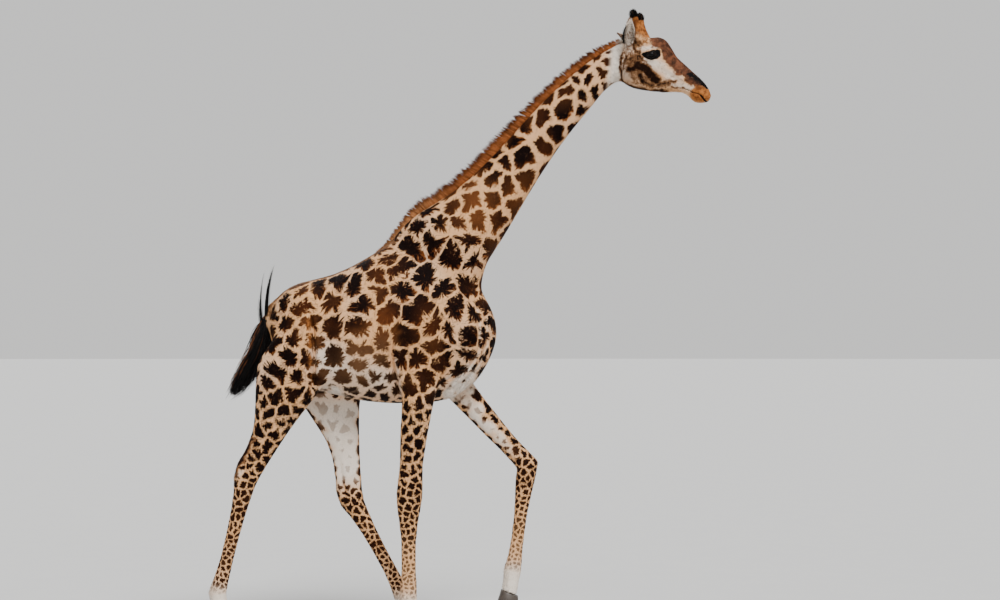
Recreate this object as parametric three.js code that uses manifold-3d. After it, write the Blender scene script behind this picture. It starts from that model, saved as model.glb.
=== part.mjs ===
// A walking female southern giraffe, life size, as a still museum model that stands on its hooves.
// Millimetres. +X is the way the animal faces, +Y its left side, +Z up; the hooves stand at z = 0.
// Each fleshy form is a loft of oval sections. The lofts are joined to one body, which thin flat
// cuts part into head, neck, trunk and legs. Hooves, eyes, ears, mane and tail are made on their own.
import * as THREE from "three";
import { mergeVertices } from "three/addons/utils/BufferGeometryUtils.js";
import Module from "manifold-3d";

// ---------------------------------------------------------------- driving dimensions
const CUT_GAP = 0.4; // the thin gap between neighbouring solids
const SIDES = { trunk: 26, neck: 20, head: 22, leg: 12, horn: 12, ear: 12, hoof: 12, tail: 12, eye: 12 };

// Trunk: heights of the back and the belly, half width, and how much the section narrows to its top
// and to its keel, by x.
const TRUNK = [
  { x: -1342, back: 2120, belly: 2010, half: 30, narrow: 0, keel: 0 },
  { x: -1330, back: 2165, belly: 1955, half: 78, narrow: 0, keel: 0 },
  { x: -1297, back: 2232, belly: 1850, half: 124, narrow: 0.04, keel: 0 },
  { x: -1240, back: 2288, belly: 1730, half: 172, narrow: 0.1, keel: 0 },
  { x: -1160, back: 2330, belly: 1648, half: 218, narrow: 0.16, keel: 0 },
  { x: -1050, back: 2355, belly: 1606, half: 262, narrow: 0.2, keel: 0.05 },
  { x: -925, back: 2386, belly: 1598, half: 296, narrow: 0.22, keel: 0.05 },
  { x: -800, back: 2440, belly: 1550, half: 322, narrow: 0.26, keel: 0.05 },
  { x: -665, back: 2518, belly: 1530, half: 330, narrow: 0.34, keel: 0.08 },
  { x: -535, back: 2607, belly: 1520, half: 318, narrow: 0.44, keel: 0.16 },
  { x: -400, back: 2665, belly: 1520, half: 296, narrow: 0.5, keel: 0.26 },
  { x: -270, back: 2660, belly: 1522, half: 278, narrow: 0.46, keel: 0.34 },
  { x: -150, back: 2560, belly: 1542, half: 258, narrow: 0.36, keel: 0.36 },
  { x: -50, back: 2430, belly: 1590, half: 230, narrow: 0.24, keel: 0.34 },
  { x: 40, back: 2320, belly: 1662, half: 190, narrow: 0.12, keel: 0.28 },
  { x: 102, back: 2240, belly: 1748, half: 145, narrow: 0.04, keel: 0.2 },
  { x: 146, back: 2160, belly: 1835, half: 100, narrow: 0, keel: 0.1 },
  { x: 173, back: 2085, belly: 1912, half: 58, narrow: 0, keel: 0 },
  { x: 184, back: 2035, belly: 1962, half: 28, narrow: 0, keel: 0 },
];

// Swellings (+) and hollows (-) of the flanks in the side view: centre, radii across and along a
// line that leans by some degrees, and how far the flank moves out.
const FLANK_FORMS = [
  { name: "shoulder blade", x: -255, z: 2330, across: 105, along: 300, lean: 28, out: 20 },
  { name: "shoulder point", x: 10, z: 2020, across: 95, along: 130, lean: 20, out: 24 },
  { name: "upper arm", x: -185, z: 1905, across: 105, along: 230, lean: 60, out: 30 },
  { name: "hollow behind the elbow", x: -470, z: 1900, across: 60, along: 210, lean: 8, out: -20 },
  { name: "breast groove", x: 78, z: 2040, across: 26, along: 190, lean: -4, out: -15 },
  { name: "hollow before the thigh", x: -955, z: 2090, across: 70, along: 200, lean: -6, out: -24 },
  { name: "hip", x: -1120, z: 2200, across: 110, along: 130, lean: 0, out: 14 },
];

// Neck: points [x, z] on its crest and its throat, from the nape to inside the chest, half width,
// and how much the section narrows to the crest.
const NECK = [
  { crest: [985, 3930], throat: [1015, 3690], half: 70, narrow: 0.1 },
  { crest: [935, 3902], throat: [955, 3652], half: 78, narrow: 0.12 },
  { crest: [865, 3866], throat: [893, 3600], half: 80, narrow: 0.14 },
  { crest: [765, 3797], throat: [830, 3520], half: 81, narrow: 0.15 },
  { crest: [670, 3720], throat: [762, 3436], half: 83, narrow: 0.15 },
  { crest: [570, 3630], throat: [688, 3346], half: 87, narrow: 0.15 },
  { crest: [465, 3528], throat: [610, 3244], half: 93, narrow: 0.15 },
  { crest: [360, 3416], throat: [535, 3135], half: 100, narrow: 0.15 },
  { crest: [255, 3298], throat: [462, 3024], half: 109, narrow: 0.16 },
  { crest: [145, 3180], throat: [390, 2906], half: 121, narrow: 0.18 },
  { crest: [25, 3060], throat: [318, 2785], half: 138, narrow: 0.2 },
  { crest: [-105, 2950], throat: [246, 2662], half: 160, narrow: 0.24 },
  { crest: [-235, 2866], throat: [172, 2545], half: 188, narrow: 0.28 },
  { crest: [-350, 2800], throat: [108, 2440], half: 214, narrow: 0.32 },
  { crest: [-445, 2728], throat: [84, 2340], half: 214, narrow: 0.45 },
  { crest: [-530, 2628], throat: [70, 2225], half: 190, narrow: 0.45 },
  { crest: [-560, 2500], throat: [10, 2110], half: 160, narrow: 0.4 },
];

// Head: points [x, z] on its top and its under side from the nape to the lips, half width, and how
// much the section narrows to its top and to the jaw.
const HEAD = [
  { name: "nape", top: [962, 3918], under: [985, 3722], half: 62, narrow: 0.1, keel: 0.1 },
  { name: "poll", top: [1020, 3948], under: [1012, 3672], half: 84, narrow: 0.1, keel: 0.1 },
  { name: "ears", top: [1082, 3964], under: [1064, 3639], half: 98, narrow: 0.02, keel: 0.16 },
  { name: "horns", top: [1144, 3971], under: [1123, 3620], half: 107, narrow: -0.06, keel: 0.24 },
  { name: "crown", top: [1210, 3962], under: [1183, 3608], half: 111, narrow: -0.08, keel: 0.34 },
  { name: "brow", top: [1267, 3970], under: [1238, 3599], half: 108, narrow: -0.06, keel: 0.44 },
  { name: "forehead", top: [1314, 3952], under: [1279, 3593], half: 97, narrow: -0.02, keel: 0.42 },
  { name: "face", top: [1353, 3895], under: [1313, 3592], half: 87, narrow: 0.02, keel: 0.36 },
  { name: "nose root", top: [1388, 3833], under: [1348, 3593], half: 74, narrow: 0.04, keel: 0.28 },
  { name: "nose bridge", top: [1444, 3782], under: [1392, 3593], half: 64, narrow: 0.06, keel: 0.2 },
  { name: "muzzle", top: [1500, 3728], under: [1434, 3583], half: 57, narrow: 0.06, keel: 0.14 },
  { name: "nostril root", top: [1543, 3690], under: [1467, 3563], half: 55, narrow: 0.05, keel: 0.08 },
  { name: "nostrils", top: [1579, 3652], under: [1491, 3532], half: 56, narrow: 0, keel: 0.05 },
  { name: "upper lip", top: [1607, 3612], under: [1520, 3514], half: 52, narrow: 0, keel: 0 },
  { name: "lip front", top: [1623, 3572], under: [1560, 3513], half: 38, narrow: 0, keel: 0 },
  { name: "lip tip", top: [1620, 3544], under: [1601, 3515], half: 18, narrow: 0, keel: 0 },
];
// The same swellings and hollows for the sides of the head.
const HEAD_FORMS = [
  { name: "orbit", x: 1238, z: 3850, across: 66, along: 52, lean: 0, out: 19 },
  { name: "temple", x: 1130, z: 3862, across: 40, along: 50, lean: 0, out: -9 },
  { name: "cheek", x: 1140, z: 3740, across: 90, along: 80, lean: -20, out: 11 },
  { name: "hollow before the eye", x: 1345, z: 3740, across: 70, along: 45, lean: 40, out: -8 },
  { name: "nostril wing", x: 1560, z: 3632, across: 30, along: 30, lean: 42, out: 9 },
];
const EYE = { at: [1242, 97, 3834], radius: 34 };
// The head and what it carries are laid out straight, then turned to the right and lowered a little.
const HEAD_TURN = { degrees: 18, from: 900, pivot: 990, to: 1080, lower: 7 };

const EAR = { root: [1075, 78, 3908], half: 46, rootHalf: 22, thick: 7, cup: 0.55 };
const EAR_RIGHT = { tip: [1112, 166, 4079], opensTo: [0.55, 0.8, -0.1] };
const EAR_LEFT = { tip: [929, 190, 4034], opensTo: [0.75, 0.25, 0.6] };
const HORN = { root: [1160, 58, 3935], tip: [1110, 88, 4152], radii: [54, 42, 31, 26, 24, 25, 22, 9] };

// Leg sections. at: 0 is the elbow or stifle, 1 the knee or hock, 2 the fetlock, 3 the top of the
// hoof. depth and width are half sizes; ahead moves a section forward, inward to the midline.
const FOOT_GIRTH = [
  { at: 2.0, depth: 59, width: 52, ahead: -8 },
  { at: 2.35, depth: 52, width: 51, ahead: -4 },
  { at: 2.7, depth: 52, width: 55, ahead: 0 },
  { at: 3.0, depth: 62, width: 62, ahead: 0 },
  { at: 3.3, depth: 66, width: 64, ahead: 0 },
];
const FORE_GIRTH = [
  { at: -0.34, depth: 130, width: 52, ahead: 30, inward: 34 },
  { at: -0.14, depth: 150, width: 76, ahead: 26 },
  { at: 0.05, depth: 138, width: 80, ahead: 24 },
  { at: 0.22, depth: 119, width: 77, ahead: 18 },
  { at: 0.4, depth: 101, width: 69, ahead: 10 },
  { at: 0.6, depth: 86, width: 59, ahead: 3 },
  { at: 0.78, depth: 75, width: 54, ahead: 0 },
  { at: 0.9, depth: 79, width: 61, ahead: 1 },
  { at: 1.0, depth: 84, width: 67, ahead: 1 },
  { at: 1.12, depth: 78, width: 59, ahead: -3 },
  { at: 1.26, depth: 58, width: 45, ahead: -5 },
  { at: 1.45, depth: 45, width: 36, ahead: -4 },
  { at: 1.7, depth: 43, width: 35, ahead: -3 },
  { at: 1.86, depth: 48, width: 40, ahead: -4 },
  ...FOOT_GIRTH,
];
const HIND_GIRTH = [
  { at: -1.0, depth: 120, width: 40, ahead: -40, inward: 100 },
  { at: -0.8, depth: 186, width: 76, ahead: -62, inward: 62 },
  { at: -0.52, depth: 228, width: 104, ahead: -82, inward: 22 },
  { at: -0.25, depth: 240, width: 110, ahead: -88 },
  { at: 0.02, depth: 218, width: 98, ahead: -82 },
  { at: 0.22, depth: 168, width: 82, ahead: -54 },
  { at: 0.42, depth: 120, width: 68, ahead: -24 },
  { at: 0.6, depth: 98, width: 57, ahead: -12 },
  { at: 0.78, depth: 91, width: 50, ahead: -12 },
  { at: 0.91, depth: 91, width: 52, ahead: -14 },
  { at: 1.03, depth: 80, width: 55, ahead: -8 },
  { at: 1.15, depth: 62, width: 50, ahead: -2 },
  { at: 1.3, depth: 51, width: 42, ahead: 0 },
  { at: 1.5, depth: 45, width: 36, ahead: 0 },
  { at: 1.72, depth: 44, width: 36, ahead: 0 },
  { at: 1.87, depth: 50, width: 41, ahead: -4 },
  ...FOOT_GIRTH,
];

// The stride: each leg's four joints, [x, y, z]. bulk scales the depth down to the knee or hock
// and shank the depth from there to the fetlock; hamstring is how far the back of the thigh stands out;
// pitch is how far the hoof's toe points below the level.
const LEGS = {
  foreleg_right: {
    girth: FORE_GIRTH, bulk: 1.05, shank: 1.12, hamstring: 0, pitch: 0,
    joints: [[-340, -190, 1800], [-398, -172, 942], [-400, -150, 232], [-350, -146, 90]],
  },
  foreleg_left: {
    girth: FORE_GIRTH, bulk: 0.9, shank: 1, hamstring: 0, pitch: 22,
    joints: [[-198, 186, 1722], [385, 176, 1106], [290, 168, 394], [258, 166, 250]],
  },
  hindleg_right: {
    girth: HIND_GIRTH, bulk: 1, shank: 1, hamstring: 46, pitch: 26,
    joints: [[-1120, -172, 1640], [-1468, -158, 1045], [-1656, -146, 278], [-1628, -142, 120]],
  },
  hindleg_left: {
    girth: HIND_GIRTH, bulk: 1, shank: 1, hamstring: 0, pitch: 0,
    joints: [[-868, 172, 1585], [-796, 158, 872], [-446, 146, 232], [-396, 144, 90]],
  },
};
const HAMSTRING = { at: 0.22, reach: 0.46 }; // the swelling's middle, and how far it runs each way
const SHANK_FROM = 1.2;
const KNEE_CUT = 95; // how far below the knee or hock a leg is parted
const FETLOCK_CUT = 78; // how far above the fetlock it is parted
// A claw: sole length and half width, height, the cleft's half gap, and its rings from sole to top.
const HOOF = {
  length: 150, toeShare: 0.56, half: 38, height: 92, apart: 2, ahead: 4,
  rings: [
    { rise: 0, grow: 1, shift: 14 },
    { rise: 0.12, grow: 1.01, shift: 13 },
    { rise: 0.5, grow: 0.92, shift: 6 },
    { rise: 1, grow: 0.82, shift: -6 },
  ],
};

const TAIL = [
  { at: [-1245, 0, 2222], deep: 34, wide: 34 },
  { at: [-1322, 4, 2165], deep: 33, wide: 33 },
  { at: [-1362, 8, 2060], deep: 26, wide: 26 },
  { at: [-1385, 10, 1970], deep: 21, wide: 21 },
  { at: [-1400, 12, 1915], deep: 19, wide: 19 },
];
const TASSEL = [
  { at: [-1380, 10, 2010], deep: 25, wide: 22 },
  { at: [-1394, 12, 1950], deep: 38, wide: 30 },
  { at: [-1420, 16, 1870], deep: 48, wide: 36 },
  { at: [-1462, 20, 1780], deep: 52, wide: 38 },
  { at: [-1515, 24, 1690], deep: 48, wide: 34 },
  { at: [-1568, 28, 1612], deep: 34, wide: 24 },
  { at: [-1602, 30, 1572], deep: 12, wide: 9 },
];
// Mane: its height along the crest from the poll to the withers, half thickness, and root depth.
const MANE = {
  heights: [40, 60, 62, 64, 70, 78, 82, 80, 74, 66, 44, 14], steps: 22, half: 17, sunk: 22,
  poll: [1015, 3944], neckPoints: 14, withers: [[-545, 2590], [-625, 2530]],
  section: [[1, 0], [0.8, 0.5], [0.25, 1], [-0.25, 1], [-0.8, 0.5], [-1, 0]],
};

// ---------------------------------------------------------------- small tools
const wasm = await Module();
wasm.setup();
const UP = new THREE.Vector3(0, 0, 1);
const LEFT = new THREE.Vector3(0, 1, 0);
const radians = THREE.MathUtils.degToRad;
const vec = (p) => new THREE.Vector3(...p);
const middle = (x, z) => new THREE.Vector3(x, 0, z);
const onSide = ([x, y, z], side) => new THREE.Vector3(x, side * y, z);

/** A smooth value read from evenly spaced samples, at share 0..1 of their span. */
function sampled(values, share) {
  const place = THREE.MathUtils.clamp(share, 0, 1) * (values.length - 1);
  const i = Math.min(Math.floor(place), values.length - 2);
  return THREE.MathUtils.lerp(values[i], values[i + 1], THREE.MathUtils.smoothstep(place - i, 0, 1));
}

/** Where a point of the straight head comes to lie; share is how much of the turn it takes. */
function turnHead(point, share = THREE.MathUtils.smoothstep(point.x, HEAD_TURN.from, HEAD_TURN.to)) {
  const turn = -radians(HEAD_TURN.degrees) * share;
  const dx = point.x - HEAD_TURN.pivot;
  return new THREE.Vector3(
    HEAD_TURN.pivot + dx * Math.cos(turn) - point.y * Math.sin(turn),
    dx * Math.sin(turn) + point.y * Math.cos(turn),
    point.z - HEAD_TURN.lower * share,
  );
}
const bent = (rings) => rings.map((ring) => ring.map((point) => turnHead(point)));
const turned = (rings) => rings.map((ring) => ring.map((point) => turnHead(point, 1)));

/** Points round a ring: at(turn) gives each from its angle. */
const ringOf = (sides, at) => Array.from({ length: sides }, (_, s) => at((2 * Math.PI * s) / sides));

/** An oval ring about centre, of half axes up and side, that narrows to its top and to its keel. */
function oval(centre, up, side, sides, { narrow = 0, keel = 0, square = 0.92 } = {}) {
  return ringOf(sides, (turn) => {
    const high = Math.sin(turn);
    const across = Math.sign(Math.cos(turn)) * Math.abs(Math.cos(turn)) ** square;
    const share = 1 - (high > 0 ? narrow : keel) * high ** 2;
    return centre.clone().addScaledVector(side, across * share).addScaledVector(up, high);
  });
}

/** A ring of the head or neck between a point above and a point below in the middle plane. */
function collar(above, below, half, sides, shape) {
  const top = middle(...above);
  const low = middle(...below);
  const centre = top.clone().add(low).multiplyScalar(0.5);
  const up = top.sub(low).multiplyScalar(0.5);
  return oval(centre, up, LEFT.clone().multiplyScalar(half), sides, shape);
}

/** A closed surface through rings of points, with a flat fan over the first and the last. */
function loft(rings) {
  const sides = rings[0].length;
  const points = rings.flat();
  const first = points.length;
  const last = (rings.length - 1) * sides;
  for (const ring of [rings[0], rings.at(-1)]) {
    points.push(ring.reduce((sum, p) => sum.add(p), new THREE.Vector3()).divideScalar(sides));
  }
  const index = [];
  for (let s = 0; s < sides; s++) {
    const next = (s + 1) % sides;
    for (let row = 0; row < last; row += sides) {
      index.push(row + s, row + next, row + next + sides);
      index.push(row + s, row + next + sides, row + s + sides);
    }
    index.push(first, next, s, first + 1, last + s, last + next);
  }
  return new THREE.BufferGeometry().setFromPoints(points).setIndex(index);
}

/** A THREE geometry as a manifold-3d solid, the right way out whichever way its rings ran. */
function solid(geometry) {
  const bare = geometry.clone();
  bare.deleteAttribute("normal");
  bare.deleteAttribute("uv");
  const merged = mergeVertices(bare, 1e-4);
  const triVerts = new Uint32Array(merged.index.array);
  const vertProperties = new Float32Array(merged.attributes.position.array);
  const make = () => new wasm.Manifold(new wasm.Mesh({ numProp: 3, vertProperties, triVerts }));
  const made = make();
  if (made.volume() > 0) return made;
  for (let i = 0; i < triVerts.length; i += 3) {
    [triVerts[i + 1], triVerts[i + 2]] = [triVerts[i + 2], triVerts[i + 1]];
  }
  return make();
}

/** A solid back as a THREE geometry. */
function geometryOf(made) {
  const { vertProperties, triVerts } = made.getMesh();
  return new THREE.BufferGeometry()
    .setAttribute("position", new THREE.BufferAttribute(new Float32Array(vertProperties), 3))
    .setIndex(new THREE.BufferAttribute(new Uint32Array(triVerts), 1));
}

/** What lies above a cut: on the side its way points to, half a gap off its plane. */
function above(made, { point, way }) {
  const unit = way.clone().normalize();
  return made.trimByPlane(unit.toArray(), unit.dot(point) + CUT_GAP / 2);
}
const under = (made, { point, way }) => above(made, { point, way: way.clone().negate() });

/** A solid without what a neighbour fills, kept clear of it by the gap in the way it grows. */
function clearOf(made, neighbour, way) {
  const step = way.clone().normalize().multiplyScalar(2 * CUT_GAP);
  return made.subtract(neighbour).subtract(neighbour.translate(step.toArray()));
}

/** Of the pieces that a cut has left, the one nearest to a point, or the larger of two as near. */
function pieceAt(made, point) {
  const away = (piece) => {
    const { min, max } = piece.boundingBox();
    return new THREE.Box3(vec(min), vec(max)).distanceToPoint(point);
  };
  return made.decompose().sort((a, b) => away(a) - away(b) || b.volume() - a.volume())[0];
}

// ---------------------------------------------------------------- the fleshy forms
/** A ring with its points moved out or in by the swellings and hollows of its flanks. */
function shaped(ring, half, forms) {
  for (const p of ring) {
    const out = forms.reduce((sum, form) => {
      const lean = radians(form.lean);
      const along = (p.z - form.z) * Math.cos(lean) - (p.x - form.x) * Math.sin(lean);
      const across = (p.x - form.x) * Math.cos(lean) + (p.z - form.z) * Math.sin(lean);
      return sum + form.out * Math.exp(-((across / form.across) ** 2) - (along / form.along) ** 2);
    }, 0);
    p.y += (p.y / half) * out;
  }
  return ring;
}

function trunkSolid() {
  return solid(loft(TRUNK.map(({ x, back, belly, half, narrow, keel }) => {
    const up = UP.clone().multiplyScalar((back - belly) / 2);
    const side = LEFT.clone().multiplyScalar(half);
    const shape = { narrow, keel, square: 0.86 };
    const ring = oval(middle(x, (back + belly) / 2), up, side, SIDES.trunk, shape);
    return shaped(ring, half, FLANK_FORMS);
  })));
}

function neckSolid() {
  return solid(loft(bent(NECK.map(({ crest, throat, half, narrow }) =>
    collar(crest, throat, half, SIDES.neck, { narrow, square: 0.9 })))));
}

/** The head without its horns; the eyes' sockets are still filled. */
function headSolid() {
  return solid(loft(bent(HEAD.map(({ top, under: low, half, narrow, keel }) => {
    const ring = collar(top, low, half, SIDES.head, { narrow, keel, square: 0.8 });
    return shaped(ring, half, HEAD_FORMS);
  }))));
}

/** An eyeball, or with some millimetres' growth the socket it sits in. */
function eyeSolid(side, grow = 0) {
  const centre = turnHead(onSide(EYE.at, side), 1);
  const ball = new THREE.SphereGeometry(EYE.radius + grow, SIDES.eye, SIDES.eye / 2);
  return solid(ball.translate(...centre.toArray()));
}

function hornSolid(side) {
  const root = onSide(HORN.root, side);
  const tip = onSide(HORN.tip, side);
  const way = tip.clone().sub(root).normalize();
  const ahead = new THREE.Vector3().crossVectors(LEFT, way).normalize();
  const left = new THREE.Vector3().crossVectors(way, ahead);
  const rings = HORN.radii.map((radius, i) => {
    const centre = root.clone().lerp(tip, (i / (HORN.radii.length - 1)) ** 0.9);
    const [deep, wide] = [ahead, left].map((axis) => axis.clone().multiplyScalar(radius));
    return oval(centre, deep, wide, SIDES.horn);
  });
  return solid(loft(turned(rings)));
}

/** The unit direction of the leg at a section, which at a joint is between its two bones'. */
function legWay(joints, at) {
  const bone = (i) => joints[i + 1].clone().sub(joints[i]).normalize();
  const own = THREE.MathUtils.clamp(Math.floor(at), 0, 2);
  const near = THREE.MathUtils.clamp(Math.round(at), 1, 2);
  const share = Math.max(0, 1 - Math.abs(at - near) / 0.3) / 2;
  return bone(own).lerp(bone(at < near ? near : near - 1), share).normalize();
}

/** A leg: sections set across the line of its joints. */
function legSolid({ girth, joints: places, bulk, shank, hamstring }) {
  const joints = places.map(vec);
  const midline = -Math.sign(joints[0].y);
  const rings = girth.map(({ at, depth, width, ahead, inward = 0 }) => {
    const bone = THREE.MathUtils.clamp(Math.floor(at), 0, 2);
    const centre = joints[bone].clone().lerp(joints[bone + 1], at - bone);
    const forward = new THREE.Vector3().crossVectors(legWay(joints, at), LEFT).normalize();
    const near = 1 - ((at - HAMSTRING.at) / HAMSTRING.reach) ** 2;
    const swell = (hamstring / 2) * Math.max(near, 0);
    centre.addScaledVector(forward, ahead - swell).addScaledVector(LEFT, midline * inward);
    const below = at < 2 ? shank : 1;
    const deep = forward.multiplyScalar(depth * (at < SHANK_FROM ? bulk : below) + swell);
    return oval(centre, deep, LEFT.clone().multiplyScalar(width), SIDES.leg, { square: 0.95 });
  });
  return solid(loft(rings));
}

// ---------------------------------------------------------------- hooves, ears, mane and tail
/** One of a hoof's two claws, a little taller than it shows; side is its side of the cleft. */
function clawSolid({ joints, pitch }, side) {
  const top = vec(joints[3]).setX(joints[3][0] + HOOF.ahead);
  const place = new THREE.Matrix4().setPosition(top).multiply(
    new THREE.Matrix4().makeRotationY(radians(pitch)));
  const rings = HOOF.rings.map(({ rise, grow, shift }) => ringOf(SIDES.hoof, (turn) => {
    const front = Math.cos(turn);
    const reach = HOOF.length * (front > 0 ? HOOF.toeShare : 1 - HOOF.toeShare);
    const taper = 1 - 0.22 * Math.max(front, 0) ** 2;
    const y = Math.max(HOOF.half * grow * (1 + Math.sin(turn) * taper), HOOF.apart);
    const x = shift + reach * grow * front;
    return new THREE.Vector3(x, side * y, (rise - 1) * HOOF.height).applyMatrix4(place);
  }));
  return solid(loft(rings));
}

/** An ear: a leaf-shaped cup that opens to one side, from its root to its tip. */
function earSolid({ tip, opensTo }, side) {
  const root = onSide(EAR.root, side);
  const along = onSide(tip, side).sub(root);
  const unit = along.clone().normalize();
  const open = onSide(opensTo, side);
  open.addScaledVector(unit, -open.dot(unit)).normalize();
  const edge = new THREE.Vector3().crossVectors(unit, open);
  const rings = [0, 0.14, 0.32, 0.52, 0.72, 0.88, 0.98].map((share) => {
    const leaf = Math.sin(Math.PI * (0.2 + 0.78 * share) ** 0.82);
    const half = THREE.MathUtils.lerp(EAR.rootHalf, EAR.half, Math.min(share * 3.5, 1)) * leaf;
    const thick = EAR.thick * (1 - 0.45 * share) + 50 * Math.max(0, 0.2 - share);
    const cup = EAR.cup * half * (1 - 0.5 * share);
    const centre = root.clone().addScaledVector(along, share);
    return ringOf(SIDES.ear, (turn) => {
      const across = Math.cos(turn);
      const out = thick * Math.sin(turn) + cup * (across ** 2 - 0.5);
      return centre.clone().addScaledVector(edge, half * across).addScaledVector(open, out);
    });
  });
  return solid(loft(turned(rings)));
}

/** The mane: a thin upright crest along the back of the neck, with its root inside the neck. */
function maneSolid() {
  const neckLine = NECK.slice(0, MANE.neckPoints).map(({ crest }) => crest);
  const line = [MANE.poll, ...neckLine, ...MANE.withers].map((p) => middle(...p));
  const crest = new THREE.CatmullRomCurve3(line);
  const rings = Array.from({ length: MANE.steps + 1 }, (_, i) => {
    const share = i / MANE.steps;
    const out = new THREE.Vector3().crossVectors(LEFT, crest.getTangentAt(share)).normalize();
    const root = crest.getPointAt(share).addScaledVector(out, -MANE.sunk);
    const height = sampled(MANE.heights, share) + MANE.sunk;
    return MANE.section.map(([across, high]) => root.clone()
      .addScaledVector(LEFT, across * MANE.half)
      .addScaledVector(out, high * height));
  });
  return solid(loft(rings));
}

/** A round tail piece through stations of a centre and two half sizes. */
function tailSolid(stations) {
  const curve = new THREE.CatmullRomCurve3(stations.map(({ at }) => vec(at)));
  const rings = stations.map(({ deep, wide }, i) => {
    const share = i / (stations.length - 1);
    const ahead = new THREE.Vector3().crossVectors(LEFT, curve.getTangent(share)).normalize();
    const side = LEFT.clone().multiplyScalar(wide);
    return oval(curve.getPoint(share), ahead.multiplyScalar(deep), side, SIDES.tail);
  });
  return solid(loft(rings));
}

// ---------------------------------------------------------------- the colours of the coat
const finish = (color, roughness) => new THREE.MeshStandardMaterial({ color, roughness, metalness: 0 });
const COAT = finish(0xb98a5e, 0.85);
const PALE_COAT = finish(0xd8ccbc, 0.85);
const MANE_HAIR = finish(0x8a4a22, 0.9);
const BLACK_HAIR = finish(0x14100f, 0.7);
const HOOF_HORN = finish(0x2c2522, 0.6);
const EYE_GLOSS = finish(0x0b0706, 0.1);

// ---------------------------------------------------------------- putting it together
const giraffe = new THREE.Group();
function add(name, made, material) {
  const mesh = new THREE.Mesh(geometryOf(made), material.clone());
  mesh.name = name;
  giraffe.add(mesh);
}

const limbs = [...Object.values(LEGS).map(legSolid), ...[1, -1].map(hornSolid)];
const sockets = wasm.Manifold.union([1, -1].map((side) => eyeSolid(side, CUT_GAP)));
const flesh = wasm.Manifold.union([trunkSolid(), neckSolid(), headSolid(), ...limbs]).subtract(sockets);

// Cuts across the body; each way points up the neck or to the back.
const CUTS = {
  horns: { point: middle(0, 3992), way: UP },
  head: { point: middle(1000, 3810), way: new THREE.Vector3(0.97, 0, 0.02) },
  neck: { point: middle(470, 3300), way: new THREE.Vector3(0.68, 0, 0.73) },
  chest: { point: middle(-40, 2745), way: new THREE.Vector3(0.55, 0, 0.83) },
  belly: { point: middle(0, 1490), way: UP },
};
const headAndHorns = above(flesh, CUTS.head);
const horns = above(headAndHorns, CUTS.horns);
const belowNeck = under(flesh, CUTS.chest);
const belowBelly = under(belowNeck, CUTS.belly);
add("head", pieceAt(under(headAndHorns, CUTS.horns), middle(1250, 3750)), COAT);
add("neck_upper", pieceAt(under(above(flesh, CUTS.neck), CUTS.head), middle(700, 3600)), COAT);
add("neck_lower", pieceAt(under(above(flesh, CUTS.chest), CUTS.neck), middle(200, 3000)), COAT);
add("trunk", pieceAt(above(belowNeck, CUTS.belly), middle(-600, 2000)), COAT);

for (const [name, leg] of Object.entries(LEGS)) {
  const joints = leg.joints.map(vec);
  const thigh = joints[1].clone().sub(joints[0]).normalize();
  const shank = joints[2].clone().sub(joints[1]).normalize();
  const cuts = {
    knee: { point: joints[1].clone().addScaledVector(shank, KNEE_CUT), way: thigh.add(shank) },
    fetlock: { point: joints[2].clone().addScaledVector(shank, -FETLOCK_CUT), way: shank },
    hoof: { point: joints[3], way: UP.clone().negate().applyAxisAngle(LEFT, radians(leg.pitch)) },
  };
  const whole = pieceAt(belowBelly, joints[2]);
  add(`${name}_upper`, pieceAt(under(whole, cuts.knee), joints[1]), COAT);
  add(`${name}_cannon`, pieceAt(under(above(whole, cuts.knee), cuts.fetlock), joints[2]), COAT);
  add(`${name}_pastern`, pieceAt(under(above(whole, cuts.fetlock), cuts.hoof), joints[2]), PALE_COAT);
  for (const [sideName, side] of [["left", 1], ["right", -1]]) {
    const claw = above(clawSolid(leg, side), cuts.hoof).trimByPlane(UP.toArray(), 0);
    add(`${name}_hoof_${sideName}`, claw, HOOF_HORN);
  }
}

for (const [name, side, ear] of [["left", 1, EAR_LEFT], ["right", -1, EAR_RIGHT]]) {
  const earWay = onSide(ear.tip, side).sub(onSide(EAR.root, side));
  const earTip = turnHead(onSide(ear.tip, side), 1);
  add(`ossicone_${name}`, pieceAt(horns, turnHead(onSide(HORN.tip, side), 1)), COAT);
  add(`ear_${name}`, pieceAt(clearOf(earSolid(ear, side), flesh, earWay), earTip), COAT);
  add(`eye_${name}`, eyeSolid(side), EYE_GLOSS);
}

const maneWay = new THREE.Vector3(-0.6, 0, 1);
const tailWay = new THREE.Vector3(-0.8, 0, -0.6);
const tailCut = { point: new THREE.Vector3(-1385, 10, 1985), way: new THREE.Vector3(0.2, 0, 0.98) };
add("mane", pieceAt(clearOf(maneSolid(), flesh, maneWay), middle(200, 3300)), MANE_HAIR);
const dock = clearOf(tailSolid(TAIL), flesh, tailWay);
const tassel = clearOf(tailSolid(TASSEL), flesh, tailWay);
add("tail_dock", pieceAt(above(dock, tailCut), tailCut.point), COAT);
add("tail_tassel", pieceAt(under(tassel, tailCut), tailCut.point), BLACK_HAIR);

// The origin is on the floor under the middle of the animal's length and width.
const box = new THREE.Box3().setFromObject(giraffe);
giraffe.position.set(-(box.min.x + box.max.x) / 2, -(box.min.y + box.max.y) / 2, -box.min.z);

export default giraffe;
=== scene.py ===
"""A walking giraffe as a life-size still model: skin, markings, coat, mane, tail, eyes and hooves."""
import math

import bmesh
import bpy
import numpy as np
from bpy.props import FloatProperty, FloatVectorProperty, IntProperty, PointerProperty
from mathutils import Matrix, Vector
from mathutils.kdtree import KDTree


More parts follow.
